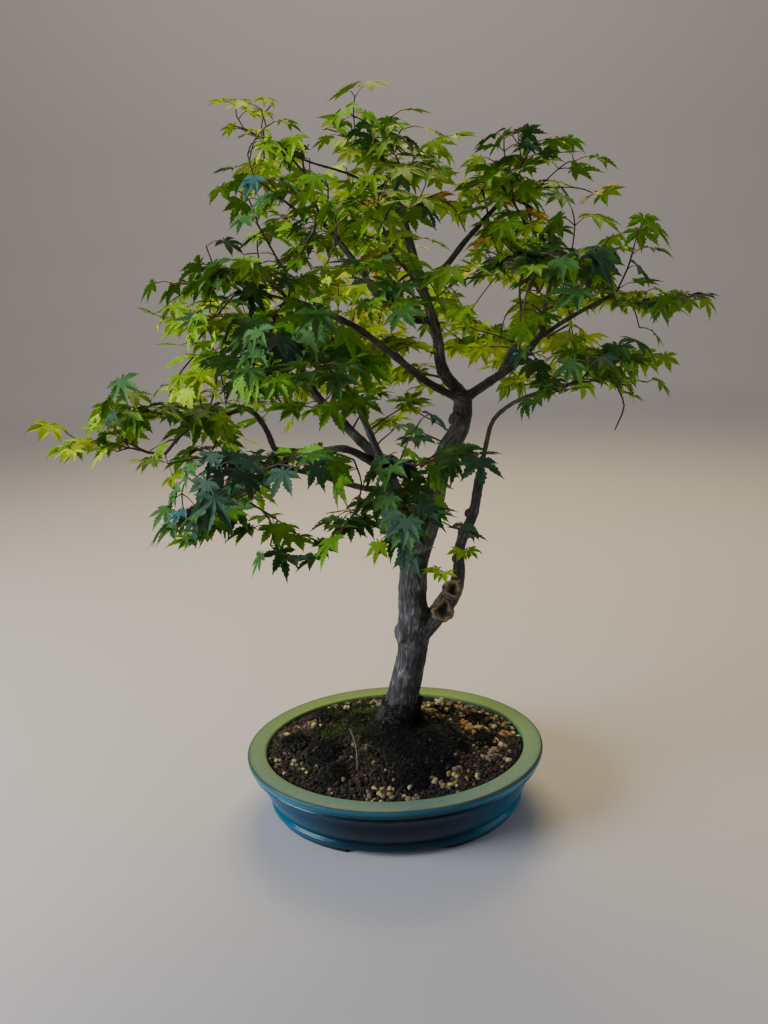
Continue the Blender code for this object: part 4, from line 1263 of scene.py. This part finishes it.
def pot_outline():
    """The pot's section as (radius, height) pairs, from the soil over the rim and down to the foot ring."""
    rim = POT_LENGTH / 2
    top = POT_HEIGHT
    lip = top - LIP_HEIGHT
    outline = [(rim - RIM_WIDTH, SOIL_EDGE - 7), (rim - RIM_WIDTH, top - 3)]
    outline += arc((rim - RIM_WIDTH + 2.2, top - 2.6), 2.2, 2.2, 180, 90, 5)
    outline += arc((rim - 1.9, top - 1.9), 1.9, 1.9, 90, 0, 7)
    outline += [(rim - 0.3, lip + 2), (rim - 1, lip + 0.6), (rim - 2.2, lip - 0.1), (rim - 3.6, lip - 0.3)]
    outline += arc((rim - 5.6, lip - 3.4), -3.2, 2.8, 90, 170, 5)
    outline += [(rim - 9, lip - 9), (rim - 10.2, 31), (rim - WAIST_INSET, WAIST_HEIGHT), (rim - 16, 17)]
    outline += [(rim - BASE_INSET + 2.2, 12.4), (rim - BASE_INSET + 2.0, 11.2)]
    outline += arc((rim - BASE_INSET + 2, 8), 2.1, 2.4, 75, -75, 7)
    outline += [(rim - BASE_INSET + 0.8, 4.8), (rim - BASE_INSET + 0.3, 1), (rim - BASE_INSET - 0.6, 0)]
    ring = rim - BASE_INSET - FOOT_RING_WIDTH
    return outline + [(ring, 0), (ring - 1, ARCH_HEIGHT), (0.4, ARCH_HEIGHT)]


def make_pot():
    """The oval pot, turned and drawn in to its oval, with four arches cut in its foot ring."""
    floor = ARCH_HEIGHT + POT_FLOOR
    inside = [(0.4, floor), (POT_LENGTH / 2 - BASE_INSET - 3 - WALL_THICKNESS, floor)]
    bm = turned([*inside, *pot_outline()], POT_STEPS)
    bmesh.ops.holes_fill(bm, edges=bm.edges)
    draw_in(bm)
    bmesh.ops.recalc_face_normals(bm, faces=bm.faces)
    pot = from_bmesh("glazed_pot", bm, [pot_glaze()])
    cutters = []
    across = POT_LENGTH + 20
    for size in ((across, END_ARCH_SPAN), (FRONT_ARCH_SPAN, across)):
        box = bmesh.new()
        bmesh.ops.create_cube(box, size=1, matrix=Matrix.Diagonal((*size, 2 * ARCH_HEIGHT - 0.6, 1)))
        upper = [edge for edge in box.edges if all(vert.co.z > 0 for vert in edge.verts)]
        bmesh.ops.bevel(box, geom=upper, offset=3, affect="EDGES", segments=4, profile=0.5, material=-1)
        cutter = from_bmesh("arch", box)
        cut = pot.modifiers.new("arch", "BOOLEAN")
        cut.operation = "DIFFERENCE"
        cut.solver = "EXACT"
        cut.object = cutter
        cutters.append(cutter)
    pot = bake_modifiers(pot)
    for cutter in cutters:
        bpy.data.objects.remove(cutter)
    pot.data.shade_smooth()
    pot.data.set_sharp_from_angle(angle=math.radians(40))
    reaches = [oval_reach(vert.co.x / MM, vert.co.y / MM) for vert in pot.data.vertices]
    pot.data.attributes.new("reach", "FLOAT", "POINT").data.foreach_set("value", reaches)
    piece(pot, "glaze", "pot")


def make_floor():
    """A plain pale floor, which turns up far behind into a plain backdrop."""
    flat = [(0, 0), (2500, 0), (5000, 0)]
    bm = turned([*flat, (6000, 80), (6900, 400), (7500, 1000), (7800, 1900), (7900, 6000)], 96)
    bmesh.ops.remove_doubles(bm, verts=bm.verts, dist=0.1)
    bmesh.ops.recalc_face_normals(bm, faces=bm.faces)
    bmesh.ops.reverse_faces(bm, faces=[face for face in bm.faces if face.normal.z < 0])
    # Matt painted board: pale and even, so that only the plant's shadow shows on it.
    floor = from_bmesh("floor", bm, [plain("pale_floor", "#bdbab9", 0.9)])
    floor.data.shade_smooth()


def lamp(name, place, size, power, colour, aim=(0, 0, 0.3)):
    light = bpy.data.lights.new(name, "AREA")
    light.size = size
    light.energy = power
    light.color = linear(colour)[:3]
    obj = bpy.data.objects.new(name, light)
    obj.location = place
    obj.rotation_euler = (Vector(aim) - Vector(place)).to_track_quat("-Z", "Y").to_euler()
    obj.visible_camera = False
    bpy.context.scene.collection.objects.link(obj)


def make_light():
    """Soft studio light: a cool key on the left, a warm one above and behind, a weak one on the right, and
    one on the backdrop."""
    world = bpy.data.worlds.new("studio")
    bpy.context.scene.world = world
    world.use_nodes = True
    feed(world.node_tree.nodes["Background"], {"Color": linear("#cfcbc6"), "Strength": 0.26})
    lamp("key", (-1.4, -0.5, 0.75), 0.8, 37, "#e6eeff")
    lamp("back", (0.1, 1.0, 1.5), 1.0, 26, "#ffe2a0")
    lamp("fill", (1.4, -0.3, 0.6), 0.8, 5, "#dfeaff")
    lamp("backdrop", (0, 3.2, 5.2), 3.0, 150, "#fff4ea", (0, 8, 1.8))


def make_camera():
    """The camera stands where the photograph's did: at the height of the crown, turned down to the pot."""
    data = bpy.data.cameras.new("camera")
    data.sensor_width = 36
    data.lens = LENS
    camera = bpy.data.objects.new("camera", data)
    tilt = Matrix.Rotation(math.radians(90 - DEGREES_DOWN), 4, "X") @ Matrix.Rotation(ROLL, 4, "Z")
    camera.matrix_world = Matrix.Translation(EYE * MM) @ tilt
    bpy.context.scene.collection.objects.link(camera)
    bpy.context.scene.camera = camera


limbs = limb_lines()
make_pot()
make_soil()
make_granules()
make_moss()
make_dead_stem()
make_bark(limbs)
make_foliage(limbs)
make_sprouts(limbs)
make_floor()
make_light()
make_camera()
